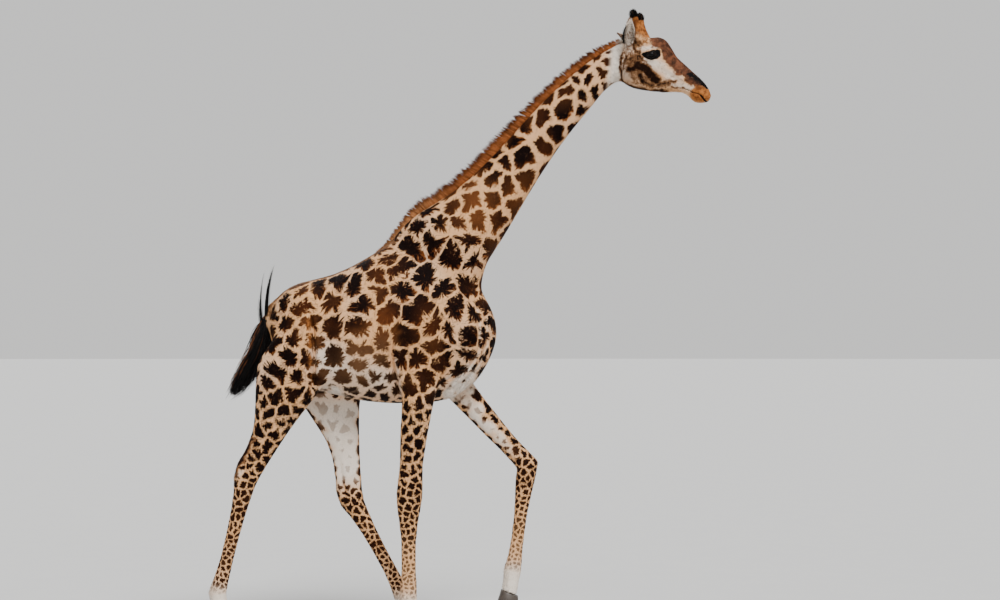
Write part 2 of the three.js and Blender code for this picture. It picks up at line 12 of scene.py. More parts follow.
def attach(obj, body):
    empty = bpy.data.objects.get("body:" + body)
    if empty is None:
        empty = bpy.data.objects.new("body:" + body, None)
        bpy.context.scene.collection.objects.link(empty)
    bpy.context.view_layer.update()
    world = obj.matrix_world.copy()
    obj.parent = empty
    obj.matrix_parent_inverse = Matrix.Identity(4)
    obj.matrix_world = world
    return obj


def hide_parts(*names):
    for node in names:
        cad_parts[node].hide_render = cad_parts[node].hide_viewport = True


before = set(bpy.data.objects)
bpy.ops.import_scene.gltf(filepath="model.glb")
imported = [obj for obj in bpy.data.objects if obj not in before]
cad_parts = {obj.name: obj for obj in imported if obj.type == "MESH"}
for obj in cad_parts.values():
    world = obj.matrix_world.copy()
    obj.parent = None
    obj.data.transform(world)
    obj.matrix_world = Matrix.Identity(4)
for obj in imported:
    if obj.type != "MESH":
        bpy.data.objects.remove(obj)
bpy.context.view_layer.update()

bl_info = {
    "name": "Giraffe model",
    "version": (1, 0, 0),
    "blender": (4, 5, 0),
    "location": "3D View > Sidebar > Giraffe",
    "description": "Builds the skin, coat, mane, tail, eyes and hooves of a walking giraffe",
    "category": "Object",
}

# ------------------------------------------------------------------ where things are, in metres
# The animal is laid out with its own zero along its length; the frame's origin is SHIFT behind it.
# Each leg runs from its top over the knee or hock and the fetlock to the middle of the foot.
SHIFT = 0.0639189
LEGS = {
    "foreleg_right": [
        (-0.340, -0.190, 1.800), (-0.398, -0.172, 0.942), (-0.400, -0.150, 0.232), (-0.350, -0.146, 0.090),
    ],
    "foreleg_left": [
        (-0.198, 0.186, 1.722), (0.385, 0.176, 1.106), (0.290, 0.168, 0.394), (0.258, 0.166, 0.250),
    ],
    "hindleg_right": [
        (-1.120, -0.172, 1.640), (-1.468, -0.158, 1.045), (-1.656, -0.146, 0.278), (-1.628, -0.142, 0.120),
    ],
    "hindleg_left": [
        (-0.868, 0.172, 1.585), (-0.796, 0.158, 0.872), (-0.446, 0.146, 0.232), (-0.396, 0.144, 0.090),
    ],
}
HIND = np.array((False, False, True, True))
NECK_LINE = [
    (-0.16, 0, 2.40), (0.16, 0, 2.85), (0.41, 0, 3.22), (0.67, 0, 3.54), (0.90, 0, 3.76), (1.0, 0, 3.81),
]
HEAD_FLOOR = 3.4
HEAD_TURN = {"angle": math.radians(18), "start": 0.900, "pivot": 0.990, "end": 1.080, "lower": 0.007}
EYE_AT = (1.242, 0.097, 3.834)
EYE_RADIUS = 0.034
# Half the angle of the lids' opening, along the eye and across it.
EYE_OPEN = (0.95, 0.60)
# How far the skin sinks to make room for the coat, and how much the thin limbs are filled out.
COAT_DEPTH = 0.003
LIMB_FILL = 0.0045
EAR_ROOT = (1.075, 0.078, 3.908)
EARS = {
    -1: {"tip": (1.112, 0.166, 4.079), "opens": (0.55, 0.8, -0.1)},
    1: {"tip": (0.929, 0.190, 4.034), "opens": (0.75, 0.25, 0.6)},
}
HORN_ROOT = (1.160, 0.058, 3.935)
HORN_TIP = (1.110, 0.088, 4.146)
# The crest of the neck, from the poll to the withers, and the mane's heights along it.
CREST = [
    (1.015, 3.944), (0.985, 3.930), (0.935, 3.902), (0.865, 3.866), (0.765, 3.797), (0.670, 3.720),
    (0.570, 3.630), (0.465, 3.528), (0.360, 3.416), (0.255, 3.298), (0.145, 3.180), (0.025, 3.060),
    (-0.105, 2.950), (-0.235, 2.866), (-0.350, 2.800), (-0.545, 2.590), (-0.625, 2.530),
]
MANE_HEIGHTS = (0.038, 0.060, 0.066, 0.072, 0.079, 0.087, 0.091, 0.089, 0.082, 0.070, 0.044, 0.010)
# The middle of the tassel from its root down, and its half thickness along it.
TASSEL_LINE = [
    (-1.350, 0.006, 2.120), (-1.368, 0.009, 2.040), (-1.394, 0.012, 1.950), (-1.420, 0.016, 1.870),
    (-1.462, 0.020, 1.780), (-1.515, 0.024, 1.690), (-1.568, 0.028, 1.612), (-1.602, 0.030, 1.572),
]
TASSEL_GIRTH = (0.034, 0.050, 0.062, 0.068, 0.070, 0.064, 0.050, 0.022)
TAIL_WISPS = [
    [(-1.350, -0.01, 2.00), (-1.352, -0.012, 2.16), (-1.338, -0.012, 2.33), (-1.302, -0.008, 2.455)],
    [(-1.352, 0.00, 1.98), (-1.362, 0.002, 2.15), (-1.344, 0.004, 2.31), (-1.310, 0.006, 2.465)],
    [(-1.362, -0.01, 1.96), (-1.392, -0.012, 2.12), (-1.392, -0.012, 2.28), (-1.366, -0.010, 2.43)],
    [(-1.365, 0.01, 1.94), (-1.402, 0.012, 2.06), (-1.405, 0.012, 2.20), (-1.385, 0.010, 2.30)],
]

EAR_NODES = ["ear_left", "ear_right"]
HOOVES = [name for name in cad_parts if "hoof" in name]
FLESH = [
    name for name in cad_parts
    if not name.startswith(("eye", "mane", "ear")) and name not in ("tail_tassel", *HOOVES)
]


# ------------------------------------------------------------------ sizes and colours to change
def length(label, text, default):
    settings = {"unit": "LENGTH", "subtype": "DISTANCE", "min": 0.0}
    return FloatProperty(name=label, description=text, default=default, **settings)


def number(label, text, default):
    return IntProperty(name=label, description=text, default=default, min=10)


def colour(label, text, default):
    settings = {"subtype": "COLOR", "size": 3, "min": 0.0, "max": 1.0}
    return FloatVectorProperty(name=label, description=text, default=default, **settings)


class GiraffeSizes(bpy.types.PropertyGroup):
    """Sizes of the skin's mesh and of the hair"""

    mesh_step: length("Skin step", "Spacing of the skin's mesh before its fine places", 0.012)
    coat_hair: length("Coat hair", "Length of the short hair on the trunk", 0.016)
    lid: length("Lid", "Thickness of the eyelids", 0.0035)
    coat_tufts: number("Coat tufts", "How many short tufts cover the body", 110000)
    mane_locks: number("Mane locks", "How many locks stand in the mane", 7000)
    tassel_locks: number("Tassel locks", "How many locks hang in the tassel", 1500)


class GiraffeColours(bpy.types.PropertyGroup):
    """Colours of the coat, hair and horn"""

    cream: colour("Cream", "Coat between the patches of the trunk", (0.66, 0.355, 0.160))
    white: colour("White", "Coat of the face, inner legs and feet", (0.74, 0.66, 0.57))
    rust: colour("Rust", "Edges of the patches", (0.105, 0.028, 0.0065))
    dark: colour("Dark", "Centres of the patches", (0.0040, 0.0010, 0.0006))
    grey: colour("Grey brown", "Faded patches of the belly and inner legs", (0.150, 0.078, 0.036))
    orange: colour("Orange", "Horns and lips", (0.40, 0.140, 0.034))
    black: colour("Black", "Tassel, horn tufts and lashes", (0.0035, 0.0030, 0.0030))
    hoof: colour("Hoof", "Horn of the hooves", (0.040, 0.030, 0.024))


def sizes():
    return bpy.context.scene.giraffe_sizes


def colours():
    return bpy.context.scene.giraffe_colours


# ------------------------------------------------------------------ small tools for shapes
def smooth(low, high, value):
    """0 below low, 1 above high, and a smooth rise between."""
    t = np.clip((value - low) / (high - low), 0.0, 1.0)
    return t * t * (3 - 2 * t)


def mix(a, b, share):
    return a + (b - a) * share


def unit(v):
    return v / np.maximum(np.linalg.norm(v, axis=-1, keepdims=True), 1e-9)


def layout(points):
    """Points of the frame in the animal's own layout."""
    return points - (SHIFT, 0, 0)


def framed(points):
    return np.asarray(points, float) + (SHIFT, 0, 0)


def turned_head(points, share=1.0):
    """Where points of the straight head lie in the frame once it is turned, wholly or by a share."""
    x, y, z = np.moveaxis(np.asarray(points, float), -1, 0)
    c, s = np.cos(HEAD_TURN["angle"] * share), np.sin(HEAD_TURN["angle"] * share)
    dx = x - HEAD_TURN["pivot"]
    lowered = z - HEAD_TURN["lower"] * share
    return framed(np.stack([HEAD_TURN["pivot"] + dx * c + y * s, y * c - dx * s, lowered], -1))


def bent_nape(points):
    """The same for points of the neck and nape, along which the turn fades out."""
    return turned_head(points, smooth(HEAD_TURN["start"], HEAD_TURN["end"], points[..., 0]))


def straight_head(points):
    """Points of the frame as they lie on the straight head, whose turn fades out along the nape."""
    p = layout(points)
    x = p[:, 0].copy()
    for _ in range(4):
        share = smooth(HEAD_TURN["start"], HEAD_TURN["end"], x)
        c, s = np.cos(HEAD_TURN["angle"] * share), np.sin(HEAD_TURN["angle"] * share)
        dx = p[:, 0] - HEAD_TURN["pivot"]
        x = HEAD_TURN["pivot"] + dx * c - p[:, 1] * s
        y = dx * s + p[:, 1] * c
    return np.stack([x, y, p[:, 2] + HEAD_TURN["lower"] * share], -1)


def head_way(direction):
    """A direction of the straight head once it is turned."""
    return turned_head(direction) - turned_head((0, 0, 0))


def along(points, line):
    """For each point its nearest place on a line of points: (how far along, in segments; distance)."""
    line = np.asarray(line, float)
    best = np.full(len(points), np.inf)
    place = np.zeros(len(points))
    for i, (a, b) in enumerate(zip(line[:-1], line[1:])):
        t = np.clip((points - a) @ (b - a) / ((b - a) @ (b - a)), 0, 1)
        away = np.linalg.norm(points - (a + t[:, None] * (b - a)), axis=1)
        closer = away < best
        best = np.where(closer, away, best)
        place = np.where(closer, i + t, place)
    return place, best


def waves(points, size, seed, turns=6):
    """A soft random field, about -1 to 1, whose forms are about size across."""
    rng = np.random.default_rng(seed)
    field = np.zeros(len(points))
    for _ in range(turns):
        way = unit(rng.normal(size=3)) * 2 * math.pi / (size * rng.uniform(1.2, 3.0))
        field += np.sin(points @ way + rng.uniform(0, 2 * math.pi))
    return field / math.sqrt(turns * 0.5) * 0.6


def curve_point(line, place):
    """Points on a smooth curve through a line's points, at places counted in segments."""
    line = np.asarray(line, float)
    padded = np.vstack([2 * line[0] - line[1], line, 2 * line[-1] - line[-2]])
    i = np.clip(np.floor(place).astype(int), 0, len(line) - 2)
    t = (place - i)[..., None]
    a, b, c, d = (padded[i + k] for k in range(4))
    return 0.5 * (2 * b + (c - a) * t + (2 * a - 5 * b + 4 * c - d) * t**2 + (3 * b - a - 3 * c + d) * t**3)


def curve_way(line, place):
    """The direction of that curve at the same places."""
    further = np.minimum(place + 0.1, len(line) - 1)
    return unit(curve_point(line, further) - curve_point(line, np.maximum(place - 0.1, 0)))


def read(collection, key, kind, width=3):
    """Numbers of a mesh's vertices, edges or loops, or of one of its attributes, in rows."""
    values = np.empty(len(collection) * width, kind)
    collection.foreach_get(key, values)
    return values.reshape(-1, width)


def vertices(mesh):
    return read(mesh.vertices, "co", np.float32).astype(float)


def move_vertices(mesh, points):
    mesh.vertices.foreach_set("co", points.astype(np.float32).ravel())


def vertex_normals(mesh):
    mesh.update()
    return read(mesh.vertex_normals, "vector", np.float32).astype(float)


def store(mesh, name, values):
    """One vector for each vertex as an attribute of the mesh."""
    layer = mesh.attributes.new(name, "FLOAT_VECTOR", "POINT")
    layer.data.foreach_set("vector", np.ascontiguousarray(values, np.float32).ravel())


def mesh_of(bm, name):
    """A mesh made of an edited shape, which is given up."""
    mesh = bpy.data.meshes.new(name)
    bm.to_mesh(mesh)
    bm.free()
    return mesh


def finished(name, mesh, material, slot, *replaced):
    """The object of a finished mesh in its material, riding on the body in place of its nodes."""
    mesh.materials.append(material)
    piece = bpy.data.objects.new(name, mesh)
    bpy.context.scene.collection.objects.link(piece)
    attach(piece, "root")
    if replaced:
        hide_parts(*replaced)


def smooth_faces(mesh):
    mesh.polygons.foreach_set("use_smooth", np.ones(len(mesh.polygons), bool))


def sheet(bm, across, down, place):
    """A grid of faces whose corners are put at place(u, v), each from 0 to 1."""
    for vert in bmesh.ops.create_grid(bm, x_segments=across, y_segments=down, size=0.5)["verts"]:
        vert.co = Vector(place(vert.co.x + 0.5, vert.co.y + 0.5))


# ------------------------------------------------------------------ small tools for finishes
class Wire:
    """A socket in a material; arithmetic on it writes Math nodes."""

    def __init__(self, finish, socket):
        self.finish = finish
        self.socket = socket

    def sum(self, operation, *others):
        return self.finish.add("Math", {"operation": operation}, dict(enumerate((self, *others))))

    def __add__(self, other):
        return self.sum("ADD", other)

    def __sub__(self, other):
        return self.sum("SUBTRACT", other)

    def __rsub__(self, other):
        return self.finish.add("Math", {"operation": "SUBTRACT"}, {0: other, 1: self})

    def __mul__(self, other):
        return self.sum("MULTIPLY", other)

    __radd__ = __add__
    __rmul__ = __mul__


class Finish:
    """A material under construction."""

    def __init__(self, name):
        self.material = bpy.data.materials.new(name)
        self.material.use_nodes = True
        self.nodes = self.material.node_tree.nodes
        self.nodes.clear()

    def add(self, kind, settings=(), sockets=(), out=0):
        """Any node: its type, its settings, which are set first, and its sockets' values or links."""
        node = self.nodes.new("ShaderNode" + kind)
        for key, value in dict(settings).items():
            setattr(node, key, value)
        for key, value in dict(sockets).items():
            if isinstance(value, Wire):
                self.material.node_tree.links.new(value.socket, node.inputs[key])
            else:
                node.inputs[key].default_value = value
        return Wire(self, node.outputs[out])

    def attribute(self, name):
        """A vector attribute of the mesh."""
        return self.add("Attribute", {"attribute_name": name}, out=1)

    def parts(self, vector):
        split = self.add("SeparateXYZ", {}, {0: vector})
        return [Wire(self, socket) for socket in split.socket.node.outputs]

    def place(self, stretch=(1, 1, 1), turn=(0, 0, 0)):
        """Object coordinates, turned and then stretched."""
        here = self.add("TexCoord", out=3)
        scale = tuple(1 / value for value in stretch)
        sockets = {"Vector": here, "Rotation": turn, "Scale": scale}
        return self.add("Mapping", {"vector_type": "TEXTURE"}, sockets)

    def noise(self, vector, scale, detail=2.0, rough=0.5):
        sockets = {"Vector": vector, "Scale": scale, "Detail": detail, "Roughness": rough}
        return self.add("TexNoise", {}, sockets)

    def step(self, value, low, high):
        """0 below low, 1 above high, and a smooth rise between."""
        settings = {"interpolation_type": "SMOOTHSTEP"}
        return self.add("MapRange", settings, {"Value": value, "From Min": low, "From Max": high})

    def blend(self, share, a, b):
        """Colour a going to colour b by a share."""
        a, b = (v if isinstance(v, Wire) else (*v, 1.0) for v in (a, b))
        return self.add("Mix", {"data_type": "RGBA"}, {0: share, 6: a, 7: b}, out=2)

    def vector(self, operation, *values, out=0):
        return self.add("VectorMath", {"operation": operation}, dict(enumerate(values)), out)

    def bump(self, height, strength, distance):
        return self.add("Bump", {}, {"Height": height, "Strength": strength, "Distance": distance})

    def surface(self, colour, roughness, normal=None, **constants):
        """The shader and the output; varying sockets first, and constants set on the shader."""
        sockets = {"Base Color": colour, "Roughness": roughness}
        if normal:
            sockets["Normal"] = normal
        sockets.update({key.replace("_", " "): value for key, value in constants.items()})
        shader = self.add("BsdfPrincipled", {}, sockets)
        out = self.nodes.new("ShaderNodeOutputMaterial")
        self.material.node_tree.links.new(shader.socket, out.inputs["Surface"])
        return self.material


# ------------------------------------------------------------------ the skin's shape
def flesh_mesh(step):
    """One closed even mesh over all the nodes of flesh, with the eyes filled in."""
    bm = bmesh.new()
    for name in FLESH + ["eye_left", "eye_right"]:
        bm.from_mesh(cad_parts[name].data)
    bmesh.ops.remove_doubles(bm, verts=bm.verts, dist=1e-5)
    for vert in bm.verts:
        vert.co += 0.0004 * vert.normal
    holder = bpy.data.objects.new("flesh", mesh_of(bm, "flesh"))
    bpy.context.scene.collection.objects.link(holder)
    remesh = holder.modifiers.new("even", "REMESH")
    remesh.mode = "VOXEL"
    remesh.voxel_size = step
    even = bpy.data.meshes.new_from_object(holder.evaluated_get(bpy.context.evaluated_depsgraph_get()))
    bpy.data.objects.remove(holder)
    return even


class Net:
    """The neighbours of each vertex of a mesh, for smoothing it."""

    def __init__(self, mesh):
        count = len(mesh.vertices)
        edges = read(mesh.edges, "vertices", np.int32, 2)
        both = np.vstack([edges, edges[:, ::-1]])
        both = both[np.argsort(both[:, 0], kind="stable")]
        start = np.searchsorted(both[:, 0], np.arange(count))
        self.degree = np.maximum(np.bincount(both[:, 0], minlength=count), 1)[:, None]
        self.table = np.zeros((count, int(self.degree.max())), np.int64)
        slot = np.arange(len(both)) - start[both[:, 0]]
        self.table[both[:, 0], slot] = both[:, 1]
        self.real = (np.arange(self.table.shape[1])[None] < self.degree)[..., None]

    def mean(self, values):
        return (values[self.table] * self.real).sum(1) / self.degree

    def relaxed(self, points, strength, times):
        for _ in range(times):
            points = points + strength[:, None] * (self.mean(points) - points)
        return points


def leg_places(points):
    """For each point its nearest leg, how far down that leg (0 to 3), and how surely it is on a leg."""
    p = layout(points)
    found = [along(p, LEGS[name]) for name in LEGS]
    away = np.stack([f[1] for f in found])
    leg = away.argmin(0)
    down = np.stack([f[0] for f in found])[leg, np.arange(len(p))]
    return leg, down, 1 - smooth(1.45, 1.75, p[:, 2])


def zones(points):
    """Soft shares of the body's zones at each point: neck, head, legs and tail."""
    p = layout(points)
    neck = smooth(-0.12, 0.14, (p[:, 0] + 0.04) * 0.55 + (p[:, 2] - 2.66) * 0.83)
    up_neck = along(p, NECK_LINE)[0] / (len(NECK_LINE) - 1)
    head = smooth(0.97, 1.06, p[:, 0])
    tail = smooth(0.03, 0.06, -(p[:, 0] + 1.24) - 0.35 * (p[:, 2] - 2.2)) * (np.abs(p[:, 1]) < 0.06)
    tail *= p[:, 2] > 1.85
    return {"neck": neck * (1 - head), "up_neck": up_neck, "head": head, "tail": tail}


def base_smoothing(mesh, most=64):
    """Rounds the even mesh off: the most times on the trunk, fewer where a limb is thin."""
    points = vertices(mesh)
    _, down, on_leg = leg_places(points)
    zone = zones(points)
    s = straight_head(points)
    times = np.full(len(points), float(most))
    times = mix(times, mix(34, 20, zone["up_neck"]), zone["neck"])
    times = mix(times, 13, zone["head"])
    horn = smooth(3.965, 4.0, s[:, 2]) * zone["head"]
    times = mix(times, 4, horn)
    times = mix(times, 8, smooth(1.42, 1.5, s[:, 0]) * zone["head"])
    times = mix(times, np.interp(down, [0, 0.5, 0.9, 1.3, 3], [30, 18, 10, 6, 5]), on_leg)
    times = mix(times, 5, zone["tail"])
    net = Net(mesh)
    times = np.clip(net.mean(net.mean(times[:, None]))[:, 0], 3, most)
    move_vertices(mesh, net.relaxed(points, 0.5 * times / most, most))


def refine(mesh, wanted):
    """Cuts each edge whose two ends are wanted."""
    bm = bmesh.new()
    bm.from_mesh(mesh)
    bm.verts.ensure_lookup_table()
    edges = [edge for edge in bm.edges if wanted[edge.verts[0].index] and wanted[edge.verts[1].index]]
    bmesh.ops.subdivide_edges(bm, edges=edges, cuts=1, use_grid_fill=True)
    many = [face for face in bm.faces if len(face.verts) > 4]
    bmesh.ops.triangulate(bm, faces=many)
    bm.to_mesh(mesh)
    bm.free()


def rounded_places(mesh, wanted, times):
    """A light smoothing that doesn't shrink, where it is wanted."""
    net = Net(mesh)
    points = vertices(mesh)
    strength = 0.5 * wanted(points).astype(float)
    for _ in range(times):
        points = net.relaxed(points, strength, 1)
        points = net.relaxed(points, -1.03 * strength, 1)
    move_vertices(mesh, points)


def fine_places(points):
    """Where the skin's mesh is cut once: the head with its horns, the lower legs and the deep folds."""
    p = layout(points)
    _, down, on_leg = leg_places(points)
    creased = np.zeros(len(points), bool)
    for name, line, _, _ in BODY_FOLDS:
        if name.startswith(("breast", "behind the elbow", "flank", "elbow skin")):
            creased |= along(p[:, [0, 2]], line)[1] < 0.045
    creased &= np.abs(p[:, 1]) > 0.06
    head = (p[:, 0] > 0.93) & (p[:, 2] > HEAD_FLOOR)
    lower_leg = (on_leg > 0.9) & (down > 0.85)
    return head | lower_leg | (zones(points)["tail"] > 0.5) | creased


def finest_places(points):
    """Where it is cut twice: the muzzle and around the eyes."""
    s = straight_head(points)
    eye = np.linalg.norm(np.abs(s) - EYE_AT, axis=1) < 0.078
    return (s[:, 0] > 1.425) & (s[:, 2] > HEAD_FLOOR) | eye


# Lines of (x, z) that are both folded and marked: the mouth from the front of the lips to its corner,
# the nostril, and two folds of the breast.
MOUTH = [
    (1.596, 3.520), (1.584, 3.529), (1.574, 3.546), (1.562, 3.562), (1.546, 3.572), (1.526, 3.579),
    (1.503, 3.584), (1.483, 3.599), (1.446, 3.612),
]
NOSTRIL = [(1.566, 3.640), (1.582, 3.629), (1.598, 3.611)]
BREAST_ONE = [
    (0.010, 2.520), (0.040, 2.330), (0.051, 2.146), (0.071, 2.013), (0.065, 1.880), (0.011, 1.773),
    (-0.069, 1.700), (-0.149, 1.613), (-0.202, 1.533),
]
BREAST_TWO = [
    (0.100, 2.240), (0.111, 2.080), (0.118, 1.913), (0.051, 1.760), (-0.049, 1.646), (-0.115, 1.566),
]
# Folds, ridges and grooves: a line of (x, z), its half width and its depth, in the straight head's
# layout for the head and in the animal's own for the rest. A ridge has a depth below 0.
HEAD_FOLDS = [
    ("nostril", NOSTRIL, 0.0052, 0.0100),
    ("nostril wing", [(1.556, 3.622), (1.574, 3.610), (1.592, 3.596)], 0.0070, -0.0030),
    ("nostril rim", [(1.572, 3.652), (1.592, 3.636)], 0.0055, -0.0022),
    ("mouth", MOUTH, 0.0042, 0.0075),
    ("lower lip", [(1.566, 3.532), (1.545, 3.555), (1.515, 3.567)], 0.0080, -0.0028),
    ("upper lip", [(1.592, 3.548), (1.572, 3.578), (1.535, 3.596)], 0.0100, -0.0026),
    ("corner of the mouth", [(1.446, 3.612), (1.425, 3.606)], 0.0080, 0.0028),
    ("facial crest", [(1.300, 3.770), (1.380, 3.715), (1.470, 3.655)], 0.0120, -0.0035),
    ("below the crest", [(1.300, 3.735), (1.375, 3.685), (1.440, 3.645)], 0.0150, 0.0035),
    ("cheek edge", [(1.245, 3.745), (1.225, 3.690), (1.200, 3.645)], 0.0120, 0.0030),
    ("jaw bone", [(1.080, 3.665), (1.190, 3.628), (1.330, 3.618)], 0.0120, -0.0030),
    ("behind the jaw", [(1.058, 3.860), (1.036, 3.800), (1.022, 3.740), (1.014, 3.665)], 0.0130, 0.0090),
    ("temple", [(1.150, 3.905), (1.120, 3.865), (1.110, 3.820)], 0.0180, 0.0050),
    ("face vein", [(1.255, 3.790), (1.262, 3.750), (1.300, 3.700), (1.345, 3.672)], 0.0035, -0.0016),
    ("face vein branch", [(1.300, 3.700), (1.290, 3.665), (1.240, 3.640)], 0.0035, -0.0014),
    ("tear line", [(1.288, 3.822), (1.312, 3.800), (1.330, 3.772)], 0.0060, 0.0022),
    ("ear fold", [(1.050, 3.880), (1.085, 3.862), (1.115, 3.880)], 0.0090, 0.0040),
]
BODY_FOLDS = [
    ("throat one", [(0.985, 3.700), (0.965, 3.665), (0.950, 3.640)], 0.0090, 0.0045),
    ("throat two", [(0.945, 3.700), (0.925, 3.650), (0.905, 3.615)], 0.0100, 0.0035),
    ("neck groove", [(0.80, 3.600), (0.55, 3.330), (0.36, 3.080), (0.20, 2.820)], 0.0240, 0.0060),
    ("breast one", BREAST_ONE, 0.0120, 0.0130),
    ("breast two", BREAST_TWO, 0.0110, 0.0100),
    ("breast one's edge",
     [(0.030, 2.146), (0.046, 2.013), (0.040, 1.880), (-0.012, 1.790), (-0.090, 1.722)], 0.0130, -0.0050),
    ("behind the elbow",
     [(-0.440, 2.100), (-0.500, 1.990), (-0.512, 1.850), (-0.490, 1.700), (-0.480, 1.580)], 0.0130, 0.0260),
    ("arm's edge", [(-0.430, 2.020), (-0.466, 1.900), (-0.462, 1.780), (-0.440, 1.640)], 0.0240, -0.0110),
    ("elbow skin one", [(0.060, 1.740), (-0.080, 1.640), (-0.200, 1.570)], 0.0120, 0.0070),
    ("elbow skin two", [(0.010, 1.800), (-0.130, 1.690), (-0.240, 1.620)], 0.0120, 0.0060),
    ("elbow skin three", [(-0.280, 1.660), (-0.330, 1.760), (-0.345, 1.880)], 0.0160, 0.0070),
    ("flank",
     [(-1.050, 2.120), (-1.028, 2.000), (-1.016, 1.860), (-1.014, 1.740), (-1.030, 1.620)], 0.0120, 0.0300),
    ("thigh's edge", [(-1.090, 2.080), (-1.072, 1.940), (-1.062, 1.800), (-1.062, 1.660)], 0.0280, -0.0130),
    ("shoulder blade", [(-0.180, 2.560), (-0.300, 2.330), (-0.330, 2.140)], 0.0240, 0.0040),
    ("ribs one", [(-0.640, 2.160), (-0.670, 1.980), (-0.640, 1.780)], 0.0200, 0.0025),
    ("ribs two", [(-0.720, 2.160), (-0.750, 1.980), (-0.720, 1.790)], 0.0200, 0.0025),
    ("ribs three", [(-0.800, 2.150), (-0.830, 1.970), (-0.800, 1.780)], 0.0200, 0.0025),
    ("hip bone", [(-1.140, 2.290), (-1.060, 2.230), (-1.010, 2.150)], 0.0280, -0.0070),
    ("thigh muscle", [(-1.190, 2.060), (-1.230, 1.840), (-1.270, 1.640)], 0.0260, 0.0060),
]


def folded(points, normals, places, side, folds):
    """Points moved in along their normals by the folds, on the side that faces out."""
    flat = places[:, [0, 2]]
    depth = np.zeros(len(points))
    facing = smooth(0.15, 0.5, np.abs(side))
    for _, line, half, deep in folds:
        place, away = along(flat, line)
        ends = np.minimum(place, len(line) - 1 - place) * 2.5 + 0.25
        depth += deep * np.exp(-((away / half) ** 2)) * np.clip(ends, 0, 1)
    return points - normals * (depth * facing)[:, None]


def eye_frame(side):
    """The centre of an eye and its outward, forward and upward directions, in the straight head."""
    out = unit(np.array((0.16, side, 0.02)))
    ahead = unit(np.cross(out, (0, 0, 1)) * side)
    ahead = unit(ahead * math.cos(0.10) + np.array((0, 0, math.sin(0.10))))
    return np.array(EYE_AT) * (1, side, 1), out, ahead, unit(np.cross(ahead, out) * -side)


def eye_opening(turn):
    """The angle at the eye's centre between its axis and the edge of the lids, round the eye."""
    corner = 1 - 0.16 * np.abs(np.sin(2 * turn))
    return corner / np.hypot(np.cos(turn) / EYE_OPEN[0], np.sin(turn) / EYE_OPEN[1])


def eye_sockets(s):
    """Straight-head points with the skin round each eye drawn over the ball and opened at the lids."""
    for side in EARS:
        centre, out, ahead, up = eye_frame(side)
        d = s - centre
        far = np.linalg.norm(d, axis=1)
        angle = np.arccos(np.clip(d @ out / np.maximum(far, 1e-6), -1, 1))
        edge = eye_opening(np.arctan2(d @ up, d @ ahead))
        inside = 1 - smooth(0.95, 1.30, angle / edge)
        target = mix(EYE_RADIUS + 0.0020, EYE_RADIUS * 0.70, inside)
        share = (far < 0.085) * (1 - smooth(0.12, 0.62, angle - 1.2 * edge))
        moved = centre + unit(d) * target[:, None]
        s = mix(s, moved, share[:, None])
    return s


def sculpt(mesh):
    """Adds the folds, sockets, nostrils and lips to the smooth skin."""
    points = vertices(mesh)
    normals = vertex_normals(mesh)
    zone = zones(points)
    head = zone["head"] + smooth(0.9, 0.97, layout(points)[:, 0]) * (1 - zone["head"]) > 0.5
    s = straight_head(points)
    body = folded(points, normals, layout(points), normals[:, 1], BODY_FOLDS)
    face = folded(points, normals, s, normals[:, 1], HEAD_FOLDS)
    points = np.where(head[:, None], face, body)
    _, down, on_leg = leg_places(points)
    sunk = mix(COAT_DEPTH, 0.4 * COAT_DEPTH, zone["head"])
    sunk = sunk - LIMB_FILL * on_leg * smooth(0.2, 0.8, down) * smooth(2.9, 2.6, down)
    points = leg_grooves(points, normals) - normals * sunk[:, None]
    s = straight_head(points)
    eyes = eye_sockets(s)
    moved = np.linalg.norm(eyes - s, axis=1) > 1e-7
    points[moved] = turned_head(eyes[moved])
    move_vertices(mesh, points)


def leg_grooves(points, normals):
    """Sinks a groove before the tendons at the back of each cannon, and knobs the joints."""
    leg, down, on_leg = leg_places(points)
    p = layout(points)
    side = np.abs(normals[:, 1])
    for i, joints in enumerate(LEGS.values()):
        mine = (leg == i) & (on_leg > 0.5)
        ahead = (p - curve_point(joints, down))[:, 0]
        cannon = smooth(1.2, 1.4, down) * (1 - smooth(1.75, 1.9, down))
        groove = np.exp(-(((ahead + 0.014) / 0.008) ** 2)) * cannon
        depth = 0.0045 * groove * smooth(0.4, 0.8, side)
        if HIND[i]:
            above_hock = smooth(0.55, 0.75, down) * (1 - smooth(0.93, 1.0, down))
            hollow = np.exp(-(((ahead + 0.034) / 0.013) ** 2)) * above_hock
            depth += 0.014 * hollow * smooth(0.2, 0.6, side)
        knob = 0.003 * np.exp(-(((down - 1.0) / 0.05) ** 2)) * smooth(0.3, 0.8, side)
        points = points - normals * ((depth - knob) * mine)[:, None]
    return points


def ear_frame(side):
    """An ear's root, its way to the tip, the way it opens, and across it, in the straight head."""
    root = np.array(EAR_ROOT) * (1, side, 1)
    way = np.array(EARS[side]["tip"]) * (1, side, 1) - root
    opens = np.array(EARS[side]["opens"]) * (1, side, 1)
    opens = unit(opens - way * (opens @ way) / (way @ way))
    return root, way, opens, np.cross(unit(way), opens)


def ear_leaf(share, across):
    """At a share of an ear's way and across it from -1 to 1: the leaf's half width and how far it lifts."""
    leaf = np.sin(math.pi * (0.2 + 0.78 * share) ** 0.82)
    half = mix(0.024, 0.044, np.minimum(share * 3.5, 1)) * leaf
    return half, 0.62 * half * (1 - 0.45 * share) * (across**2 - 0.45) + 0.004


